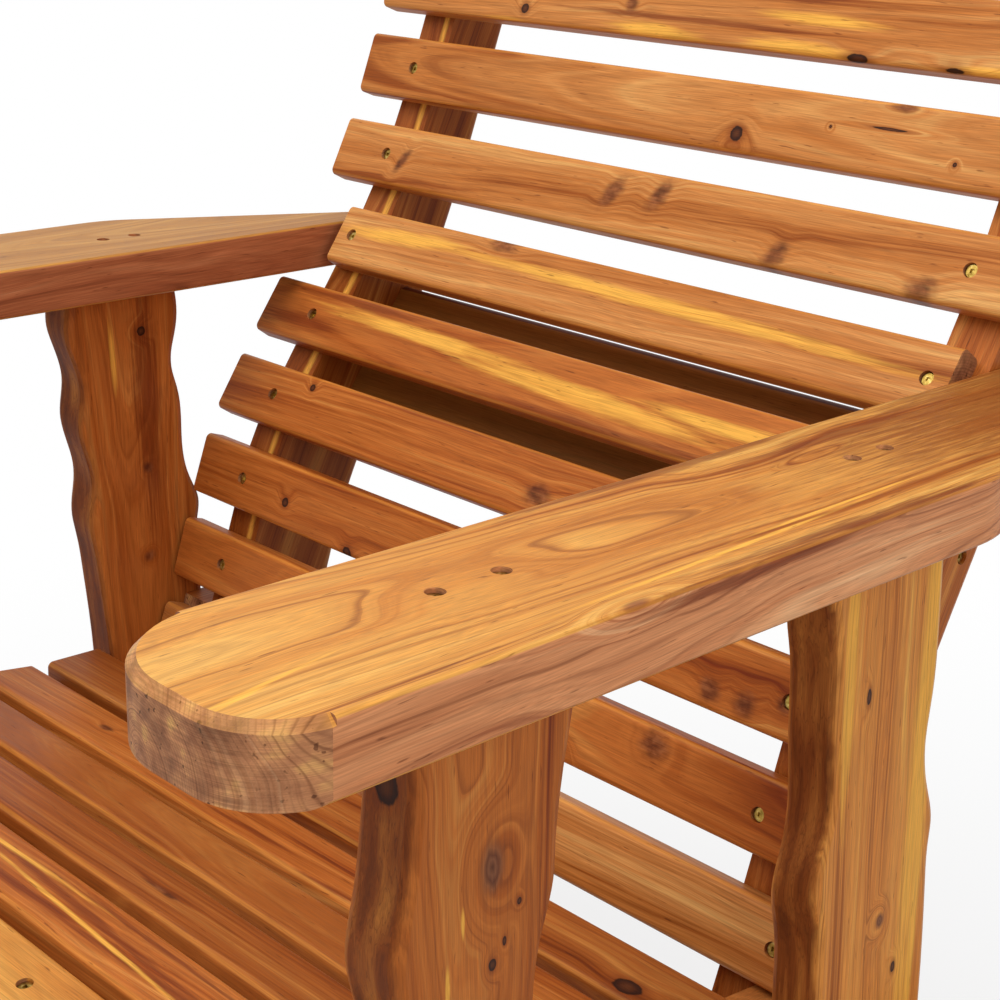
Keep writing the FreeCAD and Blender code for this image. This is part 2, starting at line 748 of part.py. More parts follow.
def bevel_outline(side, inset):
    """What the bevel takes off round an arm's front end, at the level where it is inset so far.

    It follows the front end and stops square behind the corners.
    """
    inner = upright_out
    outer = inner + size("arm_width")
    front = size("arm_front_y") - BEVEL_WASTE
    ends = []
    for edge, inward, radius in ((inner, 1, size("arm_inner_corner")), (outer, -1, size("arm_outer_corner"))):
        corner = arm_corner(edge, inward, radius, inset)
        stop = arm_corner(edge, inward, radius)[0].y + BEVEL_STOP
        run = stop - corner[0].y
        past = corner[0] - Vector(inward * run * math.tan(math.radians(size("arm_corner_turn"))), -run)
        ends.append((corner, past, Vector(edge - inward * BEVEL_WASTE, stop)))
    (inner_round, inner_past, inner_stop), (outer_round, outer_past, outer_stop) = ends
    inner_front, outer_front = (Vector(stop.x, front) for stop in (inner_stop, outer_stop))
    return arm_curves(side, [
        (inner_past, inner_round[0]), inner_round, (inner_round[-1], outer_round[-1]),
        outer_round[::-1], (outer_round[0], outer_past), (outer_past, outer_stop),
        (outer_stop, outer_front), (outer_front, inner_front), (inner_front, inner_stop),
        (inner_stop, inner_past),
    ])


def bevel_front(body, side):
    """Bevels an arm's top edge round its front end."""
    whole = body.Tip.Shape.Volume
    levels = ((f"-sizes.arm_bevel - {BEVEL_REACH}", -BEVEL_REACH),
              (f"{BEVEL_REACH}", size("arm_bevel") + BEVEL_REACH))
    sketches = []
    for number, (offset, inset) in enumerate(levels):
        sketch = add_sketch(body, "XY_Plane", f"bevel_{number}", offset)
        sketch.addGeometry(bevel_outline(side, inset), False)
        sketches.append(sketch)
    bevel = body.newObject("PartDesign::SubtractiveLoft", f"{body.Name}_bevel")
    bevel.Profile = sketches[0]
    bevel.Sections = sketches[1:]
    bevel.Ruled = True
    doc.recompute()
    if not bevel.Shape.isValid() or not 0.95 * whole < bevel.Shape.Volume < whole:
        raise RuntimeError(f"{bevel.Name} is not sound")


arm_screw_ys = {
    end: [size(f"{end}_arm_screws_y") + sign * size(f"{end}_arm_screws_apart") / 2 for sign in (-1, 1)]
    for end in post_ys
}
arm_origin = Vector(0, 0, size("arm_top_z"))


def on_arm(y):
    """The point of an arm's top face at arm length y, on the middle plane of the chair."""
    return arm_origin + arm_rotation.multVec(Vector(0, y, 0))


def make_arm(name, side):
    """A thick arm, bevelled round its front end, with recessed screw holes over the posts."""
    label = f"arm_{name}"
    body = profile_body(label, "XY_Plane", arm_outline(side), "sizes.timber", True)
    front_end = size("arm_front_y") + size("arm_inner_corner")

    def level(edge):
        return edge.BoundBox.ZLength < 1

    bevel_front(body, side)
    round_edges(body, "sizes.arm_round", lambda e: level(e) and e.BoundBox.YMax > front_end)
    centres = [(side * post_mid_x, y) for ys in arm_screw_ys.values() for y in ys]
    pocket(body, "XY_Plane", "recess", centres, "sizes.recess_radius", "sizes.screw_recess")
    pocket(body, "XY_Plane", "pilot", centres, PILOT)
    body.Placement = Placement(arm_origin, arm_rotation)
    pilot = cylinder(arm_joint + Vector(side * upright_out, 0, 0), ACROSS[side], PILOT,
                     "sizes.long_screw_length - sizes.timber + sizes.screw_recess")
    return drilled(body, [pilot])


# Posts: each live edge runs from a foot to a top distance off the pivot line, in mm. At the inner face
# it stands out further by its lead, and its swells sit lower by its drop. The swells and hollows are
# given as (height over the foot, size, spread)
LiveEdge = namedtuple("LiveEdge", "foot top lead drop swells")
LIVE_EDGES = {
    "front_right": {
        "front": LiveEdge(52, 41, 3, 4, [(582, -5, 28), (484, 8, 21), (330, -4, 60), (120, 4, 70)]),
        "rear": LiveEdge(50, 57, 0, 8, [(612, 12, 40), (490, 3, 14), (425, -15, 45), (240, 5, 60)]),
    },
    "rear_right": {
        "front": LiveEdge(51, 50, -3, 22, [(582, 7, 19), (455, -4, 26), (398, 7, 18), (180, -4, 60)]),
        "rear": LiveEdge(72, 49, 0, 6, [(450, -7, 24), (399, 4, 13), (300, 3, 60)]),
    },
    "rear_left": {
        "front": LiveEdge(47, 70, 0, 8, [
            (585, 6, 16), (537, -3, 14), (502, 3, 14), (455, -4, 16), (415, 3, 15), (300, -3, 50)]),
        "rear": LiveEdge(58, 27, 0, 4, [
            (592, 6, 22), (542, -6, 16), (463, -3, 20), (412, 8, 15), (200, 4, 60)]),
    },
    "front_left": {
        "front": LiveEdge(52, 46, 2, 6, [(520, -7, 26), (430, 6, 24), (250, -5, 50)]),
        "rear": LiveEdge(48, 50, -3, 8, [(560, 8, 30), (470, -9, 28), (300, 5, 40), (150, -4, 40)]),
    },
}


# Depth into the board and inset of its outline, as shares of the rounding
ROUND_STEPS = ((0.0, 1.0), (0.3, 0.3), (1.0, 0.0))


def live_edge(middle, sign, edge, inner_share, inset):
    """Points up one live edge of a post, at a share of the way from its outer to its inner face."""
    end = arm_under(middle + sign * edge.top)
    points = []
    for step in range(EDGE_STEPS + 1):
        share = step / EDGE_STEPS
        height = (end - post_foot_z) * share
        reach = edge.foot + (edge.top - edge.foot) * share - inset + edge.lead * inner_share
        for at_height, amount, spread in edge.swells:
            away = (height - at_height + edge.drop * inner_share) / spread
            reach += amount * math.exp(-away * away / 2)
        points.append(Vector(middle + sign * reach, post_foot_z + height))
    points[-1].y = arm_under(points[-1].x)
    return points


def post_outline(middle, edges, inner_share, inset):
    """Live front and rear edges between a level foot and a top cut to the arm's slope."""
    front = live_edge(middle, -1, edges["front"], inner_share, inset)
    rear = live_edge(middle, 1, edges["rear"], inner_share, inset)
    foot = Part.LineSegment(rear[0], front[0])
    top = Part.LineSegment(front[-1], rear[-1])
    return [spline(front), top, spline(rear[::-1]), foot]


def post_body(label, middle, edges, side):
    """A board with two live edges, rounded where they meet its faces."""
    body = doc.addObject("PartDesign::Body", f"{label}_body")
    rounding = size("post_round")
    layers = [(f"sizes.post_round * {depth}", depth * rounding, inset * rounding)
              for depth, inset in ROUND_STEPS]
    layers += [(f"sizes.timber - sizes.post_round * {depth}", timber - depth * rounding, inset * rounding)
               for depth, inset in reversed(ROUND_STEPS)]
    sketches = []
    for number, (offset, x, inset) in enumerate(layers):
        inner_share = 1 - x / timber if side > 0 else x / timber
        sketch = add_sketch(body, "YZ_Plane", f"layer_{number}", offset)
        sketch.addGeometry(post_outline(middle, edges, inner_share, inset), False)
        sketches.append(sketch)
    loft = body.newObject("PartDesign::AdditiveLoft", f"{label}_loft")
    loft.Profile = sketches[0]
    loft.Sections = sketches[1:]
    loft.Ruled = True
    doc.recompute()
    return body


post_bolts = {"front": front_bolts, "rear": [rear_rail_bolt, rear_upright_bolt]}


def make_post(end, name, side):
    """A live-edge arm post with its rail bolts, link pivot and arm screw holes."""
    label = f"{end}_post_{name}"
    middle = post_ys[end]
    body = post_body(label, middle, LIVE_EDGES[f"{end}_{name}"], side)
    pivot = [(middle, lower_pivot_z)]
    bore_through(body, "bores", post_bolts[end] + pivot, BOLT_HOLE)
    bore_from(body, "heads", post_bolts[end], HEAD_HOLE, side, True, "sizes.bolt_recess")
    bore_from(body, "pivot_head", pivot, HEAD_HOLE, side, False, "sizes.bolt_recess")
    body.Placement = Placement(Vector(side_x(side, rail_out), 0, 0), Rotation())
    pilots = []
    for y in arm_screw_ys[end]:
        start = on_arm(y) + arm_down * (timber / 2)
        pilots.append(cylinder(start + Vector(side * post_mid_x, 0, 0), arm_down, PILOT,
                               "sizes.long_screw_length"))
    return drilled(body, pilots)


for name, side in SIDES.items():
    keep(make_arm(name, side), f"arm_{name}")
    keep(make_upright(name, side), f"back_upright_{name}")
    keep(make_rail(name, side), f"seat_rail_{name}")
    for end in post_ys:
        keep(make_post(end, name, side), f"{end}_post_{name}")

# Cross rail and seat stretchers, screwed between the uprights and between the rails
body = rectangle_body("back_cross_rail", "XZ_Plane", "sizes.uprights_apart", "sizes.cross_rail_height",
                      "sizes.timber", True)
round_edges(body, "sizes.upright_round", runs_along(Vector(1, 0, 0)))
body.Placement = Placement(cross_face, Rotation(Vector(1, 0, 0), -cross_lean))
screw_hold = size("long_screw_length") - timber + size("screw_recess")
LONG_PILOT = "sizes.long_screw_length - sizes.timber + sizes.screw_recess + sizes.hole_clearance"
bars = [cylinder(p + Vector(side * upright_in, 0, 0), ACROSS[-side], PILOT, LONG_PILOT)
        for p in cross_screws for side in SIDES.values()]
keep(drilled(body, bars), "back_cross_rail")

for end, i in (("rear", 0), ("front", SEAT_SLATS - 1)):
    label = f"seat_stretcher_{end}"
    body = rectangle_body(label, "XY_Plane", "sizes.uprights_apart + 2 * sizes.timber", "sizes.timber",
                          "sizes.stretcher_height", True)
    body.Placement = Placement(seat_seats[i], Rotation(Vector(1, 0, 0), 90 - seat_leans[i]))
    pair = stretcher_screws[2:] if i else stretcher_screws[:2]
    bars = [cylinder(p + Vector(side * upright_out, 0, 0), ACROSS[-side], PILOT, LONG_PILOT)
            for p in pair for side in SIDES.values()]
    if i:
        bars += [cylinder(seat_seats[i] + Vector(side * size("front_screw_x"), 0, 0),
                          facing(seat_leans[i]) * -1, PILOT, "sizes.slat_screw_length")
                 for side in SIDES.values()]
    keep(drilled(body, bars), label)

# Long screws of the arms and of the frame
arm_places = []
frame_places = []
for side in SIDES.values():
    for y in arm_screw_ys["front"] + arm_screw_ys["rear"]:
        seat = on_arm(y) + arm_down * size("screw_recess") + Vector(side * post_mid_x, 0, 0)
        arm_places.append(driven(seat, arm_down))
    for p in cross_screws:
        seat = p + Vector(side * (upright_out - size("screw_recess")), 0, 0)
        frame_places.append(driven(seat, ACROSS[-side]))
    for p in stretcher_screws:
        seat = p + Vector(side * (rail_out - size("screw_recess")), 0, 0)
        frame_places.append(driven(seat, ACROSS[-side]))
    seat = arm_joint + Vector(side * (upright_in + size("screw_recess")), 0, 0)
    frame_places.append(driven(seat, ACROSS[side]))
group("arm_screws", long_screw, arm_places)
group("frame_screws", long_screw, frame_places)

# Bolts of the side frames: head outside, washer and nut inside
bolt_rows = [(two_layer_bolt, point, post_out, upright_out) for point in front_bolts + [rear_rail_bolt]]
bolt_rows.append((three_layer_bolt, rear_upright_bolt, post_out, upright_in))
bolt_rows.append((two_layer_bolt, upright_bolt, rail_out, upright_in))
bolts = []
nuts = []
for side in SIDES.values():
    for master, (y, z), outer, inner in bolt_rows:
        shape = master.Shape.copy()
        shape.Placement = driven(Vector(side * (outer - size("bolt_recess")), y, z), ACROSS[-side])
        bolts.append(shape)
        for ring, depth in ((washer, 0.0), (nut, size("washer_thickness"))):
            shape = ring.Shape.copy()
            shape.Placement = driven(Vector(side * (inner - depth), y, z), ACROSS[-side])
            nuts.append(shape)


def collect(label, shapes):
    """A piece made of separate solids that are already in place."""
    feature = doc.addObject("Part::Feature", label)
    feature.Shape = Part.makeCompound(shapes)
    return keep(feature, label)


collect("frame_bolts", bolts)
collect("frame_nuts_and_washers", nuts)

# Glider links with a bushing at each end, and their pivot bolts
link_out = base_in - size("washer_thickness") - size("link_play")
link_in = link_out - size("link_thickness")


def make_link(label, side, y):
    """A flat steel link with round ends, hung from its upper pivot."""
    half = size("link_width") / 2
    drop = -size("link_length")
    outline = [
        Part.LineSegment(Vector(-half, 0), Vector(-half, drop)),
        Part.Arc(Vector(-half, drop), Vector(0, drop - half), Vector(half, drop)),
        Part.LineSegment(Vector(half, drop), Vector(half, 0)),
        Part.Arc(Vector(half, 0), Vector(0, half), Vector(-half, 0)),
    ]
    body = profile_body(label, "YZ_Plane", outline, "sizes.link_thickness")
    bore_through(body, "eyes", [(0, 0), (0, drop)],
                 "sizes.bolt_radius + 2 * sizes.running_fit + sizes.bushing_wall")
    x = side_x(side, link_in, size("link_thickness"))
    body.Placement = Placement(Vector(x, y, upper_pivot_z), Rotation())
    return keep(body, label)


upper_places = []
lower_places = []
upper_stack = []
lower_stack = []
for name, side in SIDES.items():
    for end, y in post_ys.items():
        make_link(f"link_{end}_{name}", side, y)
        ends = [driven(Vector(side * link_in, y, z), ACROSS[side]) for z in (upper_pivot_z, lower_pivot_z)]
        group(f"link_bushings_{end}_{name}", bushing, ends)
        upper_places.append(driven(Vector(side * (base_out - size("bolt_recess")), y, upper_pivot_z),
                                   ACROSS[-side]))
        lower_places.append(driven(Vector(side * (rail_out + size("bolt_recess")), y, lower_pivot_z),
                                   ACROSS[side]))
        upper_stack.append((washer, driven(Vector(side * base_in, y, upper_pivot_z), ACROSS[-side])))
        upper_stack.append((thin_nut, driven(Vector(side * (link_in - size("link_play")), y, upper_pivot_z),
                                             ACROSS[-side])))
        lower_stack.append((spacer, driven(Vector(side * post_out, y, lower_pivot_z), ACROSS[side])))
        lower_stack.append((thin_nut, driven(Vector(side * (link_out + size("link_play")), y, lower_pivot_z),
                                             ACROSS[side])))
group("upper_pivot_bolts", upper_bolt, upper_places)
group("lower_pivot_bolts", lower_bolt, lower_places)
for label, stack in (("upper_pivot_nuts_and_washers", upper_stack),
                     ("lower_pivot_nuts_and_spacers", lower_stack)):
    shapes = []
    for master, placement in stack:
        shape = master.Shape.copy()
        shape.Placement = placement
        shapes.append(shape)
    collect(label, shapes)

# Floor base: sleds, legs and top rails in one plane on each side, stretchers between the sleds
sled_half = size("sled_length") / 2
sled_height = size("sled_height")
toe = size("sled_toe")
sled_points = [Vector(-sled_half, 0), Vector(sled_half, 0), Vector(sled_half, sled_height - toe),
               Vector(sled_half - toe, sled_height), Vector(toe - sled_half, sled_height),
               Vector(-sled_half, sled_height - toe), Vector(-sled_half, 0)]
dowel_ys = [y + sign * size("dowels_apart") / 2 for y in leg_ys.values() for sign in (-1, 1)]
DOWEL_HOLE = "sizes.dowel_radius + sizes.hole_clearance"
DOWEL_DEPTH = "sizes.dowel_depth + sizes.hole_clearance"
UP = Vector(0, 0, 1)
stretcher_mid_z = size("base_stretcher_z") + size("base_stretcher_height") / 2
base_screw_points = [Vector(0, y, stretcher_mid_z + sign * size("stretcher_screws_apart") / 2)
                     for y in leg_ys.values() for sign in (-1, 1)]
dowel_places = []
base_places = []
for name, side in SIDES.items():
    x = side_x(side, base_in)
    mid_x = side * (base_in + timber / 2)
    body = profile_body(f"sled_{name}", "YZ_Plane", polyline(sled_points), "sizes.timber")
    bore_through(body, "screws", yz(base_screw_points), PILOT)
    bore_from(body, "recess", yz(base_screw_points), "sizes.recess_radius", side, True,
              "sizes.screw_recess")
    body.Placement = Placement(Vector(x, 0, 0), Rotation())
    bars = [cylinder(Vector(mid_x, y, sled_height), UP * -1, DOWEL_HOLE, DOWEL_DEPTH) for y in dowel_ys]
    keep(drilled(body, bars), f"sled_{name}")

    front_y = leg_ys["front"] - size("leg_width") / 2
    rear_y = leg_ys["rear"] + size("leg_width") / 2
    rail_points = [Vector(front_y, leg_top), Vector(rear_y, leg_top), Vector(rear_y, top_rail_top),
                   Vector(front_y, top_rail_top), Vector(front_y, leg_top)]
    body = profile_body(f"base_top_rail_{name}", "YZ_Plane", polyline(rail_points), "sizes.timber")
    pivots = [(y, upper_pivot_z) for y in post_ys.values()]
    round_edges(body, "sizes.base_round",
                lambda e: runs_along(Vector(0, 1, 0))(e) and e.Vertexes[0].Z > leg_top + 1)
    bore_through(body, "pivots", pivots, BOLT_HOLE)
    bore_from(body, "heads", pivots, HEAD_HOLE, side, True, "sizes.bolt_recess")
    body.Placement = Placement(Vector(x, 0, 0), Rotation())
    bars = [cylinder(Vector(mid_x, y, leg_top), UP, DOWEL_HOLE, DOWEL_DEPTH) for y in dowel_ys]
    keep(drilled(body, bars), f"base_top_rail_{name}")

    for end, y in leg_ys.items():
        label = f"base_leg_{end}_{name}"
        body = rectangle_body(label, "XY_Plane", "sizes.timber", "sizes.leg_width",
                              f"{leg_top} - sizes.sled_height")
        round_edges(body, "sizes.base_round", runs_along(UP))
        body.Placement = Placement(Vector(mid_x, y, sled_height), Rotation())
        bars = []
        for sign in (-1, 1):
            spot = Vector(mid_x, y + sign * size("dowels_apart") / 2, sled_height)
            high = Vector(spot.x, spot.y, leg_top)
            bars.append(cylinder(spot, UP, DOWEL_HOLE, DOWEL_DEPTH))
            bars.append(cylinder(high, UP * -1, DOWEL_HOLE, DOWEL_DEPTH))
            for joint in (spot, high):
                dowel_places.append(Placement(joint - UP * size("dowel_depth"), Rotation()))
        keep(drilled(body, bars), label)
    for p in base_screw_points:
        seat = p + Vector(side * (base_out - size("screw_recess")), 0, 0)
        base_places.append(driven(seat, ACROSS[-side]))

for end, y in leg_ys.items():
    label = f"base_stretcher_{end}"
    body = rectangle_body(label, "XZ_Plane",
                          "sizes.uprights_apart + 6 * sizes.timber + 2 * sizes.link_gap",
                          "sizes.base_stretcher_height", "sizes.timber", True)
    round_edges(body, "sizes.base_round", runs_along(Vector(1, 0, 0)))
    body.Placement = Placement(Vector(0, y - timber / 2, stretcher_mid_z), Rotation())
    bars = [cylinder(p + Vector(side * base_in, 0, 0), ACROSS[-side], PILOT, LONG_PILOT)
            for p in base_screw_points if p.y == y for side in SIDES.values()]
    keep(drilled(body, bars), label)
dowel = cylinder(Vector(), UP, "sizes.dowel_radius", "2 * sizes.dowel_depth")
doc.recompute()
group("base_dowels", dowel, dowel_places)
group("base_screws", long_screw, base_places)

# Every object has to be sound before anything is written
doc.recompute()
for item in doc.Objects:
    if "Invalid" in item.State or "Error" in item.State:
        raise RuntimeError(f"{item.Name} failed: {item.State}")
for node in nodes:
    if node.Shape.isNull() or not node.Shape.isValid():
        raise RuntimeError(f"{node.Label} has no valid shape")

os.makedirs("parts", exist_ok=True)
for node in nodes:
    node.Shape.exportStep(f"parts/{node.Label}.step")
print(len(nodes), "pieces")
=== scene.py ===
"""Slat back glider in oiled red cedar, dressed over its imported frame."""
import logging
import math
from dataclasses import dataclass, field
from enum import Enum
from typing import Any, Sequence

import bpy
from mathutils import Matrix, Vector


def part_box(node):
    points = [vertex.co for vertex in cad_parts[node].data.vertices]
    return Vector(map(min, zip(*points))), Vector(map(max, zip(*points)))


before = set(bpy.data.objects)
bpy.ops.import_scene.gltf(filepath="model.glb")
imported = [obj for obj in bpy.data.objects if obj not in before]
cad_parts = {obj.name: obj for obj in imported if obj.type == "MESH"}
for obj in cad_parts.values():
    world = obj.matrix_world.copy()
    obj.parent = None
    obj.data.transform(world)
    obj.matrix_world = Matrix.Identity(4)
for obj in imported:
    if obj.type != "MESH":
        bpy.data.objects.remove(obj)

LOG = logging.getLogger("glider")
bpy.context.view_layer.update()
MM = 0.001


def linear(code: str) -> tuple[float, float, float, float]:
    """Turn an sRGB hex colour into linear light.

    Args:
        code: colour as #RRGGBB.

    Returns:
        Linear red, green, blue and an alpha of one.
    """
    parts = [int(code[i:i + 2], 16) / 255 for i in (1, 3, 5)]
    light = [c / 12.92 if c <= 0.04045 else ((c + 0.055) / 1.055) ** 2.4 for c in parts]
    return (light[0], light[1], light[2], 1.0)


def add(tree: bpy.types.NodeTree, kind: str, links: dict[Any, Any], out: Any = 0,
        stops: Sequence[tuple[float, Any]] = (), **settings: Any) -> bpy.types.NodeSocket:
    """Add a shader node with its settings, values and links.

    Args:
        tree: node tree that takes the node.
        kind: node type, without its ShaderNode prefix.
        links: value or output socket for each input, by name or number.
        out: output to return, by name or number.
        stops: places and colours of a colour ramp.
        settings: attributes of the node.

    Returns:
        The chosen output socket.
    """
    node = tree.nodes.new("ShaderNode" + kind)
    for key, value in settings.items():
        setattr(node, key, value)
    for key, value in links.items():
        if isinstance(value, bpy.types.NodeSocket):
            tree.links.new(value, node.inputs[key])
        else:
            node.inputs[key].default_value = value
    for index, (place, colour) in enumerate(stops):
        marks = node.color_ramp.elements
        mark = marks[index] if index < len(marks) else marks.new(place)
        mark.position = place
        mark.color = linear(colour) if isinstance(colour, str) else (colour, colour, colour, 1.0)
    return node.outputs[out] if len(node.outputs) else None


def new_tree(name: str) -> tuple[bpy.types.Material, bpy.types.NodeTree]:
    """Make an empty material, and give it back with its node tree."""
    material = bpy.data.materials.new(name)
    material.use_nodes = True
    material.node_tree.nodes.clear()
    return material, material.node_tree


def paint(node: str, material: bpy.types.Material) -> None:
    """Put a material in every slot of a CAD node's object."""
    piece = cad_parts[node]
    for slot in piece.material_slots:
        slot.material = material
    LOG.info("%s wears %s", node, material.name)


class Cut(Enum):
    """How a board was sawn: where the tree's pith lies off its face, across and behind, in mm."""

    PLAIN = (8.0, -58.0)
    RIFT = (-62.0, -46.0)
    QUARTER = (-120.0, -12.0)


class Heart(Enum):
    """Heartwood of red cedar from its dark bands to its light ones; three of these sets also carry painted
    light and shade, as the comments on them say.
    """

    # Painted shade: this near-black set dresses the cross rail, which lies in shade behind the back slats.
    BROWN = ("#30100A", "#4E1E10", "#5E2816", "#743A20")
    DEEP = ("#602407", "#8C4515", "#A25A24", "#B87738")
    RED = ("#752E0C", "#A0521C", "#B8692C", "#CC8742")
    WARM = ("#8A4412", "#B26A2F", "#C48043", "#D69F5C")
    GOLD = ("#9A5218", "#C27C36", "#D19346", "#E0AC5C")
    OCHRE = ("#96501A", "#C87A36", "#D88E42", "#E8AE56")
    PINK = ("#904E2E", "#C67F52", "#D89464", "#E8B282")
    # PINK and ROSE dress only the arms' sides: PINK is painted light, the lit tone of the near arm's sides;
    # ROSE is painted shade of the far arm's side.
    TAN = ("#74481F", "#9E6A33", "#B27C3E", "#C6944F")
    ROSE = ("#733A22", "#995534", "#B06A44", "#C28058")


class Branch(Enum):
    """How a branch shows: raggedness and waves of its rim, rings pushed aside, and how far off."""

    TIGHT = (0.22, (5.0, 3.0), 1.8, 5.0)
    SMUDGE = (0.5, (11.0, 6.0), 1.2, 3.0)
    EYE = (0.3, (16.0, 5.0), 6.0, 4.0)
    SWIRL = (0.4, (30.0, 9.0), 2.6, 2.6)


LATEWOOD = "#6A2C0E"
STAIN = "#6E2A0C"
# Pale sapwood streaks; the same colours make the painted highlight along the left back upright's front edge.
PALE_STREAK, PALE_STREAK_LATE = "#EBAC48", "#CE8A34"
RESIN = "#5A260C"
# Painted highlight laid on the eased edges, where they catch the light.
EDGE_HIGHLIGHT = "#E79A3E"
SMUDGE_RAMP = ((0.36, "#42190C"), (0.5, "#6A351B"), (0.66, "#8E5431"))
EYE_RAMP = ((0.0, "#4A281A"), (0.3, "#7A4C34"), (0.5, "#5C3220"), (0.75, "#8A5332"), (1.0, "#7E4524"))
KNOT_RAMP = ((0.0, "#5A3018"), (0.4, "#4A2410"), (0.7, "#30140A"), (0.95, "#1A0A05"))
KNOT_HALO = "#783613"
BARK_RAMP = ((0.3, "#5A2810"), (0.45, "#7E3E18"), (0.57, "#9A5826"), (0.72, "#B87434"))
BARK_CRACK = "#461A0A"
SOAKED_RAMP = ((0.34, "#7A4E36"), (0.46, "#9C6848"), (0.58, "#B88056"), (0.7, "#D4A262"))
SOAKED_LATE, SOAKED_EARLY = "#4E2A1A", "#5E3826"
END_PORES = "#2A120A"


@dataclass(frozen=True)
class Knot:
    """A branch that the saw cut through, in mm of its board. With a depth it isn't cut right through."""

    along: float
    across: float
    radius: float
    stretch: float = 1.0
    turn: float = 0.0
    kind: Branch = Branch.TIGHT
    depth: float | None = None

    def half(self) -> tuple[float, float, float]:
        """Its half length, half width and half depth."""
        return self.radius * self.stretch, self.radius, 1e6 if self.depth is None else self.radius


@dataclass(frozen=True)
class Streak:
    """A long patch of another colour, in mm of its board. With a depth it is a vein inside the board."""

    along: float
    across: float
    half_length: float
    half_width: float
    turn: float = 0.0
    depth: float | None = None

    def half(self) -> tuple[float, float, float]:
        """Its half length, half width and half depth."""
        return self.half_length, self.half_width, 1e6 if self.depth is None else self.half_width


@dataclass(frozen=True)
class Lie:
    """How a board lies: the middle of its show face in mm, its grain and its face directions."""

    centre: tuple[float, float, float]
    grain: tuple[float, float, float]
    face: tuple[float, float, float]
    depth: float = 38.0

    def rotation(self) -> tuple[float, float, float]:
        """Euler angles that turn X along the grain and Z out of the face."""
        grain = Vector(self.grain).normalized()
        face = Vector(self.face).normalized()
        axes = Matrix((grain, face.cross(grain), face)).transposed()
        return tuple(axes.to_euler())


@dataclass(frozen=True)
class Marks:
    """What sets one board apart from the next."""

    cut: Cut = Cut.PLAIN
    heart: Heart = Heart.WARM
    ring: float = 3.2
    sway: float = 6.0
    slant: float = 0.03
    line: float = 0.42
    late: float = 0.5
    fine: float = 0.38
    live: bool = False
    # Heartwood of the faces beside the show face, set for how light falls on them: darker as painted shade on
    # a shaded side, lighter as painted light on a lit one.
    side_shading: Heart | None = None
    nose: float | None = None
    knots: tuple[Knot, ...] = ()
    pale_streaks: tuple[Streak, ...] = ()
    stains: tuple[Streak, ...] = ()

    def veins(self) -> list[Streak]:
        """Stains that lie inside the board and show on all its sides."""
        return [stain for stain in self.stains if stain.depth is not None]

    def face_stains(self) -> list[Streak]:
        """Stains of the show face alone."""
        return [stain for stain in self.stains if stain.depth is None]


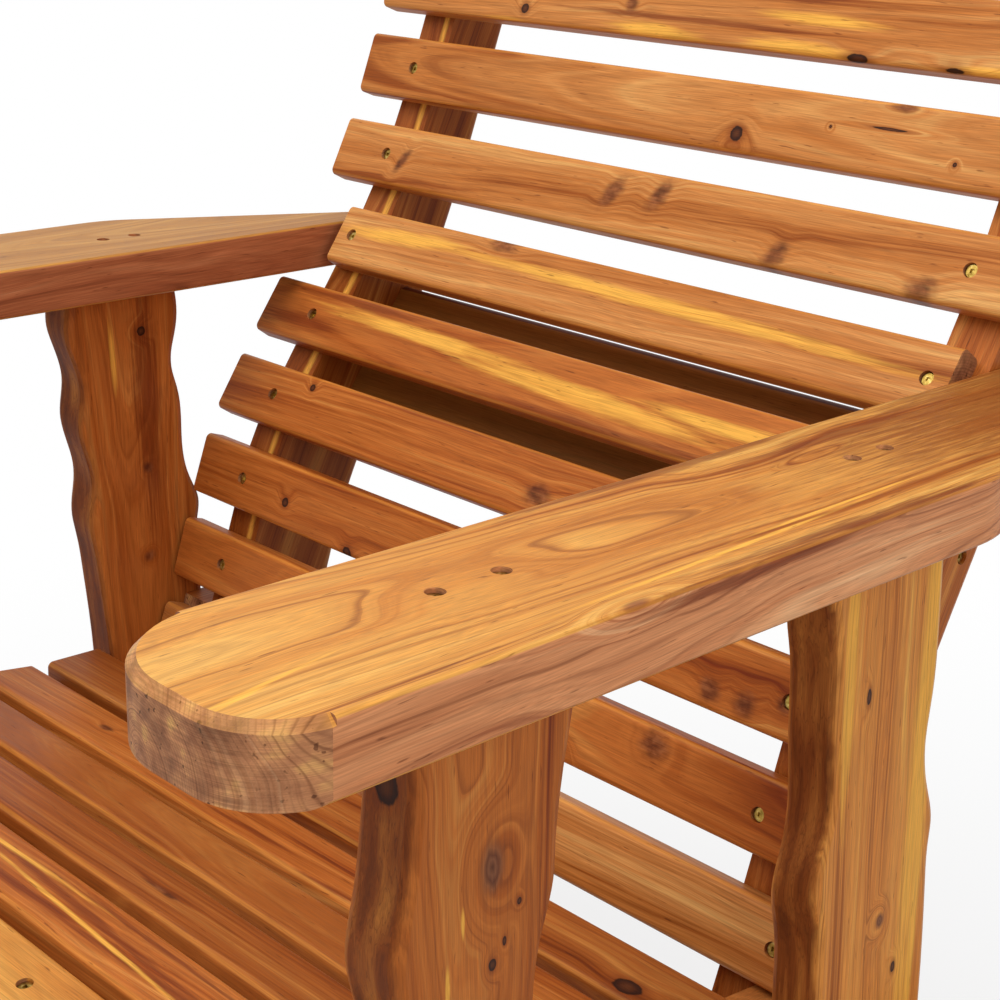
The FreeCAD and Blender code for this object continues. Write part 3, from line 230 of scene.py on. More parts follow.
@dataclass(frozen=True)
class OiledCedar:
    """Red cedar, planed, sanded and oiled.

    Dark latewood lines over red to golden heartwood, pale sapwood streaks, knots that the rings bend
    round, and a soft satin shine from the oil. Sawn ends drink more oil and turn dull and dark.
    """

    name: str
    lie: Lie
    marks: Marks
    seed: float
    fibre_size: tuple[float, float] = (34.0, 0.7)
    fibre_tone: tuple[float, float] = (0.77, 1.21)
    satin: tuple[float, float] = (0.42, 0.56)
    relief: float = 0.4

    def material(self) -> bpy.types.Material:
        """Build the finish of one board.

        Returns:
            A material whose figure is fixed to that board.
        """
        material, tree = new_tree(self.name)
        place = add(tree, "TexCoord", {}, out="Object")
        local = add(tree, "Mapping", {
            "Vector": place, "Location": Vector(self.lie.centre) * MM,
            "Rotation": self.lie.rotation(), "Scale": (MM, MM, MM)}, vector_type="TEXTURE")
        bent = self.bend(tree, local)
        faced, ended = (self.towards(tree, axis) for axis in (self.lie.face, self.lie.grain))
        gaps = self.branches(tree, local)
        line, radius = self.rings(tree, bent, gaps)
        fibre = self.noise(tree, bent, self.fibre_size, 0.0, detail=3.0)
        plain = self.heartwood(tree, bent, radius, line, self.marks.heart, self.marks.fine)
        colour = self.streaks(tree, local, line, plain)
        # The faces beside the show face take that heartwood: painted shade and painted light of the sides.
        if self.marks.side_shading:
            plain = self.heartwood(tree, bent, radius, line, self.marks.side_shading, 0.6)
        colour = self.blend(tree, self.step(tree, faced, 0.3, 0.62), plain, colour)
        colour = self.stained(tree, local, colour, self.marks.veins())
        colour, edges = self.edges(tree, local, colour, faced)
        colour = self.knots(tree, local, gaps, colour)
        colour = self.specks(tree, bent, colour)
        colour = self.scaled(tree, colour, fibre, *self.fibre_tone)
        colour, ends = self.ends(tree, local, radius, line, colour, ended)
        height = add(tree, "Math", {0: line, 1: -0.35, 2: fibre}, operation="MULTIPLY_ADD")
        bump = add(tree, "Bump", {"Strength": 0.25, "Distance": self.relief * MM, "Height": height})
        smooth, raised = self.satin
        rough = add(tree, "MapRange", {"Value": fibre, "From Min": 0.3, "From Max": 0.7,
                                       "To Min": smooth, "To Max": raised})
        for share, change in ((ends, 0.1), (edges, 0.12 if self.marks.live else -0.16)):
            rough = add(tree, "Math", {0: share, 1: change, 2: rough}, operation="MULTIPLY_ADD")
        shader = add(tree, "BsdfPrincipled", {
            "Base Color": colour, "Roughness": rough, "Normal": bump, "IOR": 1.45,
            "Specular IOR Level": 0.14, "Coat Weight": 0.03, "Coat Roughness": 0.2})
        add(tree, "OutputMaterial", {"Surface": shader})
        return material

    def noise(self, tree: bpy.types.NodeTree, at: bpy.types.NodeSocket, grain: tuple[float, float],
              shift: float, detail: float = 2.0, out: str = "Fac") -> bpy.types.NodeSocket:
        """Noise drawn out along the grain.

        Args:
            tree: node tree of the material.
            at: place on the board in mm.
            grain: length along the grain and width across it of the noise, in mm.
            shift: number that sets it apart from the board's other noises.
            detail: octaves of finer noise.
            out: output to return.

        Returns:
            The noise.
        """
        length, width = grain
        at = add(tree, "VectorMath", {0: at, 1: (1 / length, 1 / width, 1 / width)}, operation="MULTIPLY")
        return add(tree, "TexNoise", {"Vector": at, "W": self.seed + shift, "Scale": 1.0, "Detail": detail},
                   out=out, noise_dimensions="4D")

    def blend(self, tree: bpy.types.NodeTree, share: Any, under: Any, over: Any) -> bpy.types.NodeSocket:
        """Lay one colour over another by a share."""
        under, over = (linear(c) if isinstance(c, str) else c for c in (under, over))
        return add(tree, "Mix", {"Factor": share, 6: under, 7: over}, out=2, data_type="RGBA")

    def step(self, tree: bpy.types.NodeTree, value: bpy.types.NodeSocket, start: float, end: float,
             low: float = 0.0, high: float = 1.0) -> bpy.types.NodeSocket:
        """Ease from one level to another while a value passes from start to end."""
        return add(tree, "MapRange", {"Value": value, "From Min": start, "From Max": end, "To Min": low,
                                      "To Max": high}, interpolation_type="SMOOTHSTEP")

    def scaled(self, tree: bpy.types.NodeTree, colour: bpy.types.NodeSocket, value: bpy.types.NodeSocket,
               low: float, high: float) -> bpy.types.NodeSocket:
        """Darken and lighten a colour by a noise."""
        amount = add(tree, "MapRange", {"Value": value, "From Min": 0.3, "From Max": 0.7, "To Min": low,
                                        "To Max": high})
        return add(tree, "VectorMath", {0: colour, "Scale": amount}, operation="SCALE")

    def bend(self, tree: bpy.types.NodeTree, local: bpy.types.NodeSocket) -> bpy.types.NodeSocket:
        """Sway the grain slowly along the board."""
        sway = self.marks.sway
        drift = self.noise(tree, local, (240, 50), 0.0, out="Color")
        drift = add(tree, "VectorMath", {0: drift, 1: (0, 2 * sway, 2 * sway), 2: (0, -sway, -sway)},
                    operation="MULTIPLY_ADD")
        return add(tree, "VectorMath", {0: local, 1: drift}, operation="ADD")

    def nearest(self, tree: bpy.types.NodeTree, local: bpy.types.NodeSocket,
                spots: Sequence[Knot | Streak]) -> bpy.types.NodeSocket | None:
        """Distance to the nearest spot, where its rim is at one.

        Args:
            tree: node tree of the material.
            local: place on the board in mm.
            spots: knots or streaks.

        Returns:
            The distance, or None on a board without spots.
        """
        least = None
        for spot in spots:
            gap = add(tree, "Mapping", {
                "Vector": local, "Location": (spot.along, spot.across, spot.depth or 0.0),
                "Rotation": (0, 0, math.radians(spot.turn)), "Scale": spot.half()},
                vector_type="TEXTURE")
            gap = add(tree, "VectorMath", {0: gap}, out="Value", operation="LENGTH")
            least = gap if least is None else add(tree, "Math", {0: least, 1: gap}, operation="MINIMUM")
        return least

    def ragged(self, tree: bpy.types.NodeTree, local: bpy.types.NodeSocket, gap: bpy.types.NodeSocket,
               amount: float, waves: tuple[float, float]) -> bpy.types.NodeSocket:
        """Let the rim of spots wander.

        Args:
            tree: node tree of the material.
            local: place on the board in mm.
            gap: distance to the nearest spot.
            amount: how far the rim wanders, as a share of the spot.
            waves: length and width of its waves, in mm.

        Returns:
            The distance with a ragged rim.
        """
        rim = self.noise(tree, local, waves, 3.0, detail=3.0)
        rim = add(tree, "Math", {0: rim, 1: -0.5}, operation="ADD")
        return add(tree, "Math", {0: rim, 1: 2 * amount, 2: gap}, operation="MULTIPLY_ADD")

    def branches(self, tree: bpy.types.NodeTree,
                 local: bpy.types.NodeSocket) -> dict[Branch, bpy.types.NodeSocket]:
        """Distance to the nearest knot of each kind that the board has."""
        gaps = {kind: self.nearest(tree, local, [knot for knot in self.marks.knots if knot.kind is kind])
                for kind in Branch}
        return {kind: gap for kind, gap in gaps.items() if gap is not None}

    def rings(self, tree: bpy.types.NodeTree, bent: bpy.types.NodeSocket,
              gaps: dict[Branch, bpy.types.NodeSocket]) -> tuple[bpy.types.NodeSocket, bpy.types.NodeSocket]:
        """Growth rings round the pith, pushed aside by the knots.

        Args:
            tree: node tree of the material.
            bent: place on the board in mm, along the swaying grain.
            gaps: distances to the nearest knots.

        Returns:
            The latewood lines from nought to one, and the distance from the pith in mm.
        """
        marks = self.marks
        across, behind = marks.cut.value
        pith = add(tree, "Mapping", {
            "Vector": bent, "Location": (0, across, behind),
            "Rotation": (0, -marks.slant, marks.slant / 2)}, vector_type="TEXTURE")
        pith = add(tree, "VectorMath", {0: pith, 1: (0, 1, 1)}, operation="MULTIPLY")
        radius = add(tree, "VectorMath", {0: pith}, out="Value", operation="LENGTH")
        for kind, gap in gaps.items():
            count, reach = kind.value[2:]
            push = add(tree, "MapRange", {"Value": gap, "From Min": 0.3, "From Max": reach,
                                          "To Min": count * marks.ring, "To Max": 0.0},
                       interpolation_type="SMOOTHERSTEP")
            radius = add(tree, "Math", {0: radius, 1: push}, operation="ADD")
        uneven = add(tree, "Math", {0: radius, 1: 1 / 13}, operation="MULTIPLY")
        uneven = add(tree, "TexNoise", {"W": uneven, "Scale": 1.0, "Detail": 2.0}, noise_dimensions="1D")
        phase = add(tree, "Math", {0: radius, 1: 1 / marks.ring, 2: self.seed}, operation="MULTIPLY_ADD")
        phase = add(tree, "Math", {0: uneven, 1: 4.0, 2: phase}, operation="MULTIPLY_ADD")
        ring = add(tree, "Math", {0: phase}, operation="FLOOR")
        ring = add(tree, "TexWhiteNoise", {"W": ring}, noise_dimensions="1D")
        part = add(tree, "Math", {0: phase}, operation="FRACT")
        line = add(tree, "ValToRGB", {"Fac": part},
                   stops=((0.0, 0.3), (0.06, 0.0), (1 - marks.late, 0.0), (0.92, 0.9), (1.0, 0.5)))
        strong = add(tree, "MapRange", {"Value": ring, "From Min": 0.2, "To Min": 0.1, "To Max": 1.0})
        return add(tree, "Math", {0: line, 1: strong}, operation="MULTIPLY"), radius

    def towards(self, tree: bpy.types.NodeTree, axis: tuple[float, float, float]) -> bpy.types.NodeSocket:
        """How far a surface faces along an axis, either way, from nought to one."""
        normal = add(tree, "TexCoord", {}, out="Normal")
        turn = add(tree, "VectorMath", {0: normal, 1: Vector(axis).normalized()}, out="Value",
                   operation="DOT_PRODUCT")
        return add(tree, "Math", {0: turn}, operation="ABSOLUTE")

    def heartwood(self, tree: bpy.types.NodeTree, bent: bpy.types.NodeSocket, radius: bpy.types.NodeSocket,
                  line: bpy.types.NodeSocket, heart: Heart, fine: float) -> bpy.types.NodeSocket:
        """Broad and narrow bands of heartwood under the latewood lines.

        Args:
            tree: node tree of the material.
            bent: place on the board in mm, along the swaying grain.
            radius: distance from the pith in mm.
            line: latewood lines.
            heart: colours of the bands.
            fine: share of the narrow bands.

        Returns:
            The colour of the plain heartwood.
        """
        along = add(tree, "SeparateXYZ", {0: bent}, out="X")
        band = None
        for length, width, share in ((500, 15, 1 - fine), (260, 2.6, fine)):
            run = add(tree, "Math", {0: along, 1: 1 / length}, operation="MULTIPLY")
            deep = add(tree, "Math", {0: radius, 1: 1 / width}, operation="MULTIPLY")
            part = add(tree, "CombineXYZ", {"X": run, "Y": deep, "Z": self.seed + share})
            part = add(tree, "TexNoise", {"Vector": part, "Scale": 1.0, "Detail": 3.0, "Roughness": 0.6})
            part = add(tree, "Math", {0: part, 1: share}, operation="MULTIPLY")
            band = part if band is None else add(tree, "Math", {0: band, 1: part}, operation="ADD")
        band = add(tree, "MapRange", {"Value": band, "From Min": 0.34, "From Max": 0.66})
        dark, low, high, light = heart.value
        colour = add(tree, "ValToRGB", {"Fac": band},
                     stops=((0.0, dark), (0.28, low), (0.66, high), (1.0, light)))
        share = add(tree, "Math", {0: line, 1: self.marks.line}, operation="MULTIPLY")
        return self.blend(tree, share, colour, LATEWOOD)

    def stained(self, tree: bpy.types.NodeTree, local: bpy.types.NodeSocket, colour: bpy.types.NodeSocket,
                stains: Sequence[Streak]) -> bpy.types.NodeSocket:
        """Dark streaks, feathered along the grain.

        Args:
            tree: node tree of the material.
            local: place on the board in mm.
            colour: colour of the wood.
            stains: the streaks.

        Returns:
            The colour with the streaks in it.
        """
        gap = self.nearest(tree, local, stains)
        if gap is None:
            return colour
        gap = self.ragged(tree, local, gap, 0.8, (45, 2.0))
        return self.blend(tree, self.step(tree, gap, 0.4, 1.2, 0.7, 0.0), colour, STAIN)

    def streaks(self, tree: bpy.types.NodeTree, local: bpy.types.NodeSocket, line: bpy.types.NodeSocket,
                colour: bpy.types.NodeSocket) -> bpy.types.NodeSocket:
        """Pale streaks of sapwood, among them one painted highlight, and dark stained streaks on the show
        face, feathered along the grain.

        Args:
            tree: node tree of the material.
            local: place on the board in mm.
            line: latewood lines.
            colour: colour of the heartwood.

        Returns:
            The colour with the streaks on it.
        """
        colour = self.stained(tree, local, colour, self.marks.face_stains())
        # Pale streaks are sapwood, except on the left back upright, where one is a painted highlight.
        pale_gap = self.nearest(tree, local, self.marks.pale_streaks)
        if pale_gap is not None:
            pale_gap = self.ragged(tree, local, pale_gap, 0.5, (40, 2.5))
            pale = self.blend(tree, line, PALE_STREAK, PALE_STREAK_LATE)
            colour = self.blend(tree, self.step(tree, pale_gap, 0.4, 1.25, 0.92, 0.0), colour, pale)
        return colour

    def knots(self, tree: bpy.types.NodeTree, local: bpy.types.NodeSocket,
              gaps: dict[Branch, bpy.types.NodeSocket], colour: bpy.types.NodeSocket) -> bpy.types.NodeSocket:
        """Tight knots with a black rim, eyes ringed like the trunk, and dark smudges.

        Args:
            tree: node tree of the material.
            local: place on the board in mm.
            gaps: distances to the nearest knots.
            colour: colour of the wood.

        Returns:
            The colour with the knots in it.
        """
        rims = {kind: self.ragged(tree, local, gap, *kind.value[:2]) for kind, gap in gaps.items()}
        smudge, eye, tight = (rims.get(kind) for kind in (Branch.SMUDGE, Branch.EYE, Branch.TIGHT))
        if smudge is not None:
            mottle = self.noise(tree, local, (10, 5), 17.0, detail=3.0)
            mottle = add(tree, "ValToRGB", {"Fac": mottle}, stops=SMUDGE_RAMP)
            colour = self.blend(tree, self.step(tree, smudge, 0.35, 1.4, 0.84, 0.0), colour, mottle)
        if eye is not None:
            heart = add(tree, "ValToRGB", {"Fac": eye}, stops=EYE_RAMP)
            colour = self.blend(tree, self.step(tree, eye, 0.6, 1.3, 0.9, 0.0), colour, heart)
        if tight is not None:
            colour = self.blend(tree, self.step(tree, tight, 0.9, 2.2, 0.55, 0.0), colour, KNOT_HALO)
            heart = add(tree, "ValToRGB", {"Fac": tight}, stops=KNOT_RAMP)
            colour = self.blend(tree, self.step(tree, tight, 0.9, 1.12, 0.96, 0.0), colour, heart)
        return colour

    def specks(self, tree: bpy.types.NodeTree, bent: bpy.types.NodeSocket,
               colour: bpy.types.NodeSocket) -> bpy.types.NodeSocket:
        """Short dark dashes of resin along the grain."""
        dash = self.noise(tree, bent, (16, 1.5), 7.0, detail=1.0)
        return self.blend(tree, self.step(tree, dash, 0.68, 0.78, 0.0, 0.6), colour, RESIN)

    def edges(self, tree: bpy.types.NodeTree, local: bpy.types.NodeSocket, colour: bpy.types.NodeSocket,
              faced: bpy.types.NodeSocket) -> tuple[bpy.types.NodeSocket, bpy.types.NodeSocket]:
        """Paint a highlight on the eased edges, where they catch the light, or darken the live ones where the
        bark came off.

        Args:
            tree: node tree of the material.
            local: place on the board in mm.
            colour: colour of the long grain.
            faced: how far the surface faces as the show face does.

        Returns:
            The colour with its edges, and their share.
        """
        if not self.marks.live:
            # Painted highlight: the edges that are neither face nor side are lightened as if catching the
            # light.
            eased = add(tree, "Math", {0: faced, 1: 0.66}, operation="SUBTRACT")
            eased = add(tree, "Math", {0: eased}, operation="ABSOLUTE")
            eased = self.step(tree, eased, 0.3, 0.1, 0.0, 0.6)
            return self.blend(tree, eased, colour, self.blend(tree, 0.5, colour, EDGE_HIGHLIGHT)), eased
        inner = self.noise(tree, local, (26, 9), 5.0, detail=3.0)
        depth = add(tree, "SeparateXYZ", {0: local}, out="Z")
        depth = add(tree, "Math", {0: depth, 1: self.lie.depth / 2}, operation="ADD")
        depth = add(tree, "Math", {0: depth}, operation="ABSOLUTE")
        depth = add(tree, "Math", {0: inner, 1: 9.0, 2: depth}, operation="MULTIPLY_ADD")
        reach = self.lie.depth / 2 + 4.5
        share = self.step(tree, depth, reach, reach - 6.0, 0.0, 0.94)
        turned = self.step(tree, faced, 0.99, 0.9)
        share = add(tree, "Math", {0: share, 1: turned}, operation="MULTIPLY")
        bark = self.noise(tree, local, (90, 11), 6.0, detail=4.0)
        contour = add(tree, "Math", {0: bark, 1: 26.0}, operation="MULTIPLY")
        contour = add(tree, "Math", {0: contour, 1: 1.0}, operation="PINGPONG")
        bark = add(tree, "ValToRGB", {"Fac": bark}, stops=BARK_RAMP)
        bark = self.blend(tree, self.step(tree, contour, 0.25, 0.0, 0.0, 0.4), bark, BARK_CRACK)
        return self.blend(tree, share, colour, bark), share

    def ends(self, tree: bpy.types.NodeTree, local: bpy.types.NodeSocket, radius: bpy.types.NodeSocket,
             line: bpy.types.NodeSocket, colour: bpy.types.NodeSocket,
             ended: bpy.types.NodeSocket) -> tuple[bpy.types.NodeSocket, bpy.types.NodeSocket]:
        """Darken the sawn ends, where the oil soaks in between the saw's marks.

        Args:
            tree: node tree of the material.
            local: place on the board in mm.
            radius: distance from the pith in mm.
            line: latewood lines.
            colour: colour of the long grain.
            ended: how far the surface faces along the grain.

        Returns:
            The whole colour, and the share of sawn end.
        """
        share = self.step(tree, ended, 0.5, 0.92)
        if self.marks.nose is not None:
            along = add(tree, "SeparateXYZ", {0: local}, out="X")
            front = self.step(tree, along, self.marks.nose + 3, self.marks.nose - 3)
            curved = self.step(tree, ended, 0.05, 0.17, 0.0, 0.8)
            front = add(tree, "Math", {0: front, 1: curved}, operation="MULTIPLY")
            share = add(tree, "Math", {0: share, 1: front}, operation="MAXIMUM")
        blotch = self.noise(tree, local, (34, 12), 9.0, detail=4.0)
        soaked = add(tree, "ValToRGB", {"Fac": blotch}, stops=SOAKED_RAMP)
        saw = add(tree, "VectorMath", {0: local, 1: (1 / 30, 1 / 30, 1 / 0.5)}, operation="MULTIPLY")
        saw = add(tree, "TexNoise", {"Vector": saw, "Scale": 1.0, "Detail": 2.0})
        soaked = self.scaled(tree, soaked, saw, 0.66, 1.24)
        late = add(tree, "Math", {0: line, 1: 0.6}, operation="MULTIPLY")
        soaked = self.blend(tree, late, soaked, SOAKED_LATE)
        early = add(tree, "Math", {0: radius, 1: 0.95}, operation="PINGPONG")
        soaked = self.blend(tree, self.step(tree, early, 0.45, 0.0, 0.0, 0.4), soaked, SOAKED_EARLY)
        spots = self.noise(tree, local, (3, 3.2), 13.0, detail=1.0)
        soaked = self.blend(tree, self.step(tree, spots, 0.67, 0.73, 0.0, 0.9), soaked, END_PORES)
        over = add(tree, "Math", {0: share, 1: 0.9}, operation="MULTIPLY")
        return self.blend(tree, over, colour, soaked), share


@dataclass(frozen=True)
class YellowZinc:
    """Zinc plated and yellow passivated steel: pale brassy metal with faint cloudy patches, made darker as
    painted shade of the recesses that the heads sit in.
    """

    name: str = "zinc_plated_steel_yellow_passivated"

    def material(self) -> bpy.types.Material:
        """Build the finish of the screws."""
        material, tree = new_tree(self.name)
        place = add(tree, "TexCoord", {}, out="Object")
        cloud = add(tree, "TexNoise", {"Vector": place, "Scale": 1 / (3 * MM), "Detail": 3.0})
        # The ramp is darker than the plating's own colour: painted shade for the recesses that the screw
        # heads sit in.
        colour = add(tree, "ValToRGB", {"Fac": cloud},
                     stops=((0.3, "#745A24"), (0.55, "#B2944A"), (0.75, "#D8C27C")))
        rough = add(tree, "MapRange", {"Value": cloud, "To Min": 0.22, "To Max": 0.42})
        shader = add(tree, "BsdfPrincipled", {"Base Color": colour, "Metallic": 1.0, "Roughness": rough})
        add(tree, "OutputMaterial", {"Surface": shader})
        return material


@dataclass(frozen=True)
class PlatedSteel:
    """Bright zinc plated steel, rolled flat: grey metal with faint lines along the bar."""

    name: str = "zinc_plated_steel_rolled"
    colour_dark: str = "#8C8E90"
    colour_light: str = "#C4C6C6"

    def material(self) -> bpy.types.Material:
        """Build the finish of the links, bolts and nuts."""
        material, tree = new_tree(self.name)
        place = add(tree, "TexCoord", {}, out="Object")
        rolled = add(tree, "VectorMath", {0: place, 1: (1 / MM, 1 / MM, 1 / (60 * MM))},
                     operation="MULTIPLY")
        rolled = add(tree, "TexNoise", {"Vector": rolled, "Scale": 1.0, "Detail": 3.0})
        colour = add(tree, "ValToRGB", {"Fac": rolled},
                     stops=((0.3, self.colour_dark), (0.7, self.colour_light)))
        rough = add(tree, "MapRange", {"Value": rolled, "To Min": 0.3, "To Max": 0.48})
        bump = add(tree, "Bump", {"Strength": 0.1, "Distance": 0.0002, "Height": rolled})
        shader = add(tree, "BsdfPrincipled", {"Base Color": colour, "Metallic": 1.0, "Roughness": rough,
                                              "Normal": bump})
        add(tree, "OutputMaterial", {"Surface": shader})
        return material


def leaning(lean: float) -> tuple[Vector, Vector]:
    """Directions of a board that leans back.

    Args:
        lean: degrees from vertical.

    Returns:
        Up the board's face, and out of it.
    """
    turn = math.radians(lean)
    return (Vector((0, math.sin(turn), math.cos(turn))), Vector((0, -math.cos(turn), math.sin(turn))))


@dataclass
class SlatRow:
    """Slats laid one after another along a curve."""

    stem: str
    start: tuple[float, float]
    leans: tuple[float, ...]
    pitch: float
    marks: dict[int, Marks] = field(default_factory=dict)
    seed_step: float = 2.7

    def lies(self) -> list[Lie]:
        """Work out how each slat lies, as the frame has it."""
        centre = Vector((0, *self.start))
        lies = []
        for index, lean in enumerate(self.leans):
            if index:
                centre = centre + leaning((self.leans[index - 1] + lean) / 2)[0] * self.pitch
            lies.append(Lie(tuple(centre), (1, 0, 0), tuple(leaning(lean)[1])))
        return lies

    def dress(self) -> None:
        """Give every slat its own board of cedar."""
        cuts = (Cut.PLAIN, Cut.RIFT, Cut.QUARTER)
        hearts = (Heart.WARM, Heart.RED, Heart.GOLD)
        for index, lie in enumerate(self.lies(), 1):
            name = f"{self.stem}_{index}"
            marks = self.marks.get(index, Marks(cuts[index % 3], hearts[index % 3]))
            seed = self.seed_step * index
            paint(name, OiledCedar(f"oiled_cedar_{name}", lie, marks, seed).material())


@dataclass
class BoardSet:
    """Boards that share a grain and a face direction, named one by one."""

    names: tuple[str, ...]
    grain: tuple[float, float, float]
    face: tuple[float, float, float]
    marks: dict[str, Marks] = field(default_factory=dict)
    seed: float = 11.0
    seed_step: float = 3.1

    def lie(self, name: str) -> Lie:
        """Place a board's figure at the middle of its box, on the face that shows."""
        low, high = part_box(name)
        reach = (high - low) / 2
        outward = Vector(a * b for a, b in zip(self.face, reach))
        return Lie(tuple(((low + high) / 2 + outward) / MM), self.grain, self.face)

    def dress(self) -> None:
        """Give every board its own cedar."""
        cuts = (Cut.RIFT, Cut.PLAIN, Cut.QUARTER)
        hearts = (Heart.WARM, Heart.RED)
        for index, name in enumerate(self.names):
            marks = self.marks.get(name, Marks(cuts[index % 3], hearts[index % 2]))
            seed = self.seed + self.seed_step * index
            paint(name, OiledCedar(f"oiled_cedar_{name}", self.lie(name), marks, seed).material())


@dataclass
class Hardware:
    """Screws, bolts, links and bushings."""

    screws: tuple[str, ...] = ("back_slat_screws", "seat_slat_screws", "arm_screws", "frame_screws",
                               "base_screws")
    steel: tuple[str, ...] = ("frame_bolts", "frame_nuts_and_washers", "lower_pivot_bolts",
                              "lower_pivot_nuts_and_spacers", "upper_pivot_bolts",
                              "upper_pivot_nuts_and_washers")

    def dress(self) -> None:
        """Give the metal pieces their plating."""
        zinc = YellowZinc().material()
        steel = PlatedSteel().material()
        bronze = PlatedSteel("sintered_bronze", "#8A6A3A", "#C29A5A").material()
        for name in self.screws:
            paint(name, zinc)
        for name in self.steel:
            paint(name, steel)
        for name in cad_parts:
            if name.startswith("link_bushings"):
                paint(name, bronze)
            elif name.startswith("link_"):
                paint(name, steel)


@dataclass(frozen=True)
class Softbox:
    """A square soft light, in mm and watts."""

    name: str
    at: tuple[float, float, float]
    width: float
    watts: float
    target: tuple[float, float, float] = (0.0, 0.0, 500.0)

    def hang(self) -> None:
        """Hang the light so that it faces its target."""
        data = bpy.data.lights.new(self.name, "AREA")
        data.size = self.width * MM
        data.energy = self.watts
        lamp = bpy.data.objects.new(self.name, data)
        lamp.location = Vector(self.at) * MM
        lamp.rotation_euler = (Vector(self.target) - Vector(self.at)).to_track_quat("-Z", "Y").to_euler()
        bpy.context.scene.collection.objects.link(lamp)


@dataclass
class Studio:
    """Plain pale studio with a camera where the photographer stood, in mm."""

    camera_at: tuple[float, float, float] = (976.9, -792.1, 1085.4)
    azimuth: float = 46.581
    elevation: float = 20.269
    lens: float = 69.44
    sensor: float = 36.0
    near_clip: float = 50.0
    floor_half: float = 12000.0
    shadow_reach: tuple[float, float] = (500.0, 1600.0)
    shadow_share: float = 0.25
    paper: str = "#CFCFCC"
    white: str = "#FFFFFF"
    surround: float = 0.5
    softboxes: tuple[Softbox, ...] = (Softbox("overhead_softbox", (0.0, -900.0, 2600.0), 2200.0, 46.0),
                                      Softbox("side_softbox", (2400.0, -500.0, 1500.0), 1500.0, 14.0))

    def build(self) -> None:
        """Make the floor, the lights and the camera."""
        self.floor()
        self.lights()
        self.camera()

    def floor(self) -> None:
        """Lay a pale floor that keeps the object's shadow and fades into the white surround."""
        half = self.floor_half * MM
        mesh = bpy.data.meshes.new("studio_floor")
        mesh.from_pydata([(-half, -half, 0), (half, -half, 0), (half, half, 0), (-half, half, 0)], [],
                         [(0, 1, 2, 3)])
        floor = bpy.data.objects.new("studio_floor", mesh)
        bpy.context.scene.collection.objects.link(floor)
        material, tree = new_tree("studio_paper_white")
        seen = self.seen(tree)
        colour = add(tree, "Mix", {"Factor": seen, 6: linear(self.paper), 7: linear(self.white)},
                     out=2, data_type="RGBA")
        paper = add(tree, "BsdfDiffuse", {"Color": colour})
        glow = add(tree, "Emission", {"Color": linear(self.white), "Strength": 1.0})
        near, far = (reach * MM for reach in self.shadow_reach)
        place = add(tree, "TexCoord", {}, out="Object")
        gap = add(tree, "VectorMath", {0: place}, out="Value", operation="LENGTH")
        share = add(tree, "MapRange", {"Value": gap, "From Min": near, "From Max": far,
                                       "To Min": 1 - self.shadow_share, "To Max": 1.0},
                    interpolation_type="SMOOTHSTEP")
        share = add(tree, "Math", {0: seen, 1: share}, operation="MULTIPLY")
        surface = add(tree, "MixShader", {"Fac": share, 1: paper, 2: glow})
        add(tree, "OutputMaterial", {"Surface": surface})
        mesh.materials.append(material)

    def seen(self, tree: bpy.types.NodeTree) -> bpy.types.NodeSocket:
        """One for rays of the camera, of gloss and through glass, and nought for diffuse light."""
        rays = [add(tree, "LightPath", {}, out=f"Is {kind} Ray")
                for kind in ("Camera", "Glossy", "Transmission")]
        most = add(tree, "Math", {0: rays[0], 1: rays[1]}, operation="MAXIMUM")
        return add(tree, "Math", {0: most, 1: rays[2]}, operation="MAXIMUM")

    def lights(self) -> None:
        """Hang soft lights, with a white surround that only the camera and gloss see."""
        scene = bpy.context.scene
        world = bpy.data.worlds.new("studio_surround")
        scene.world = world
        world.use_nodes = True
        tree = world.node_tree
        tree.nodes.clear()
        strength = add(tree, "MapRange", {"Value": self.seen(tree), "To Min": self.surround, "To Max": 1.0})
        surround = add(tree, "Background", {"Color": linear(self.white), "Strength": strength})
        add(tree, "OutputWorld", {"Surface": surround})
        for softbox in self.softboxes:
            softbox.hang()
        scene.view_settings.view_transform = "Standard"

    def camera(self) -> None:
        """Set the camera at the photograph's viewing angle."""
        turn, rise = math.radians(self.azimuth), math.radians(self.elevation)
        look = Vector((-math.sin(turn) * math.cos(rise), math.cos(turn) * math.cos(rise),
                       -math.sin(rise)))
        data = bpy.data.cameras.new("camera")
        data.sensor_width = self.sensor
        data.lens = self.lens
        data.clip_start = self.near_clip * MM
        camera = bpy.data.objects.new("camera", data)
        camera.location = Vector(self.camera_at) * MM
        camera.rotation_euler = look.to_track_quat("-Z", "Y").to_euler()
        bpy.context.scene.collection.objects.link(camera)
        bpy.context.scene.camera = camera


ALONG_X, ALONG_Y, ALONG_Z = (1, 0, 0), (0, 1, 0), (0, 0, 1)
FORWARD = (0, -1, 0)
SIDES = ("right", "left")
ENDS = ("front", "rear")

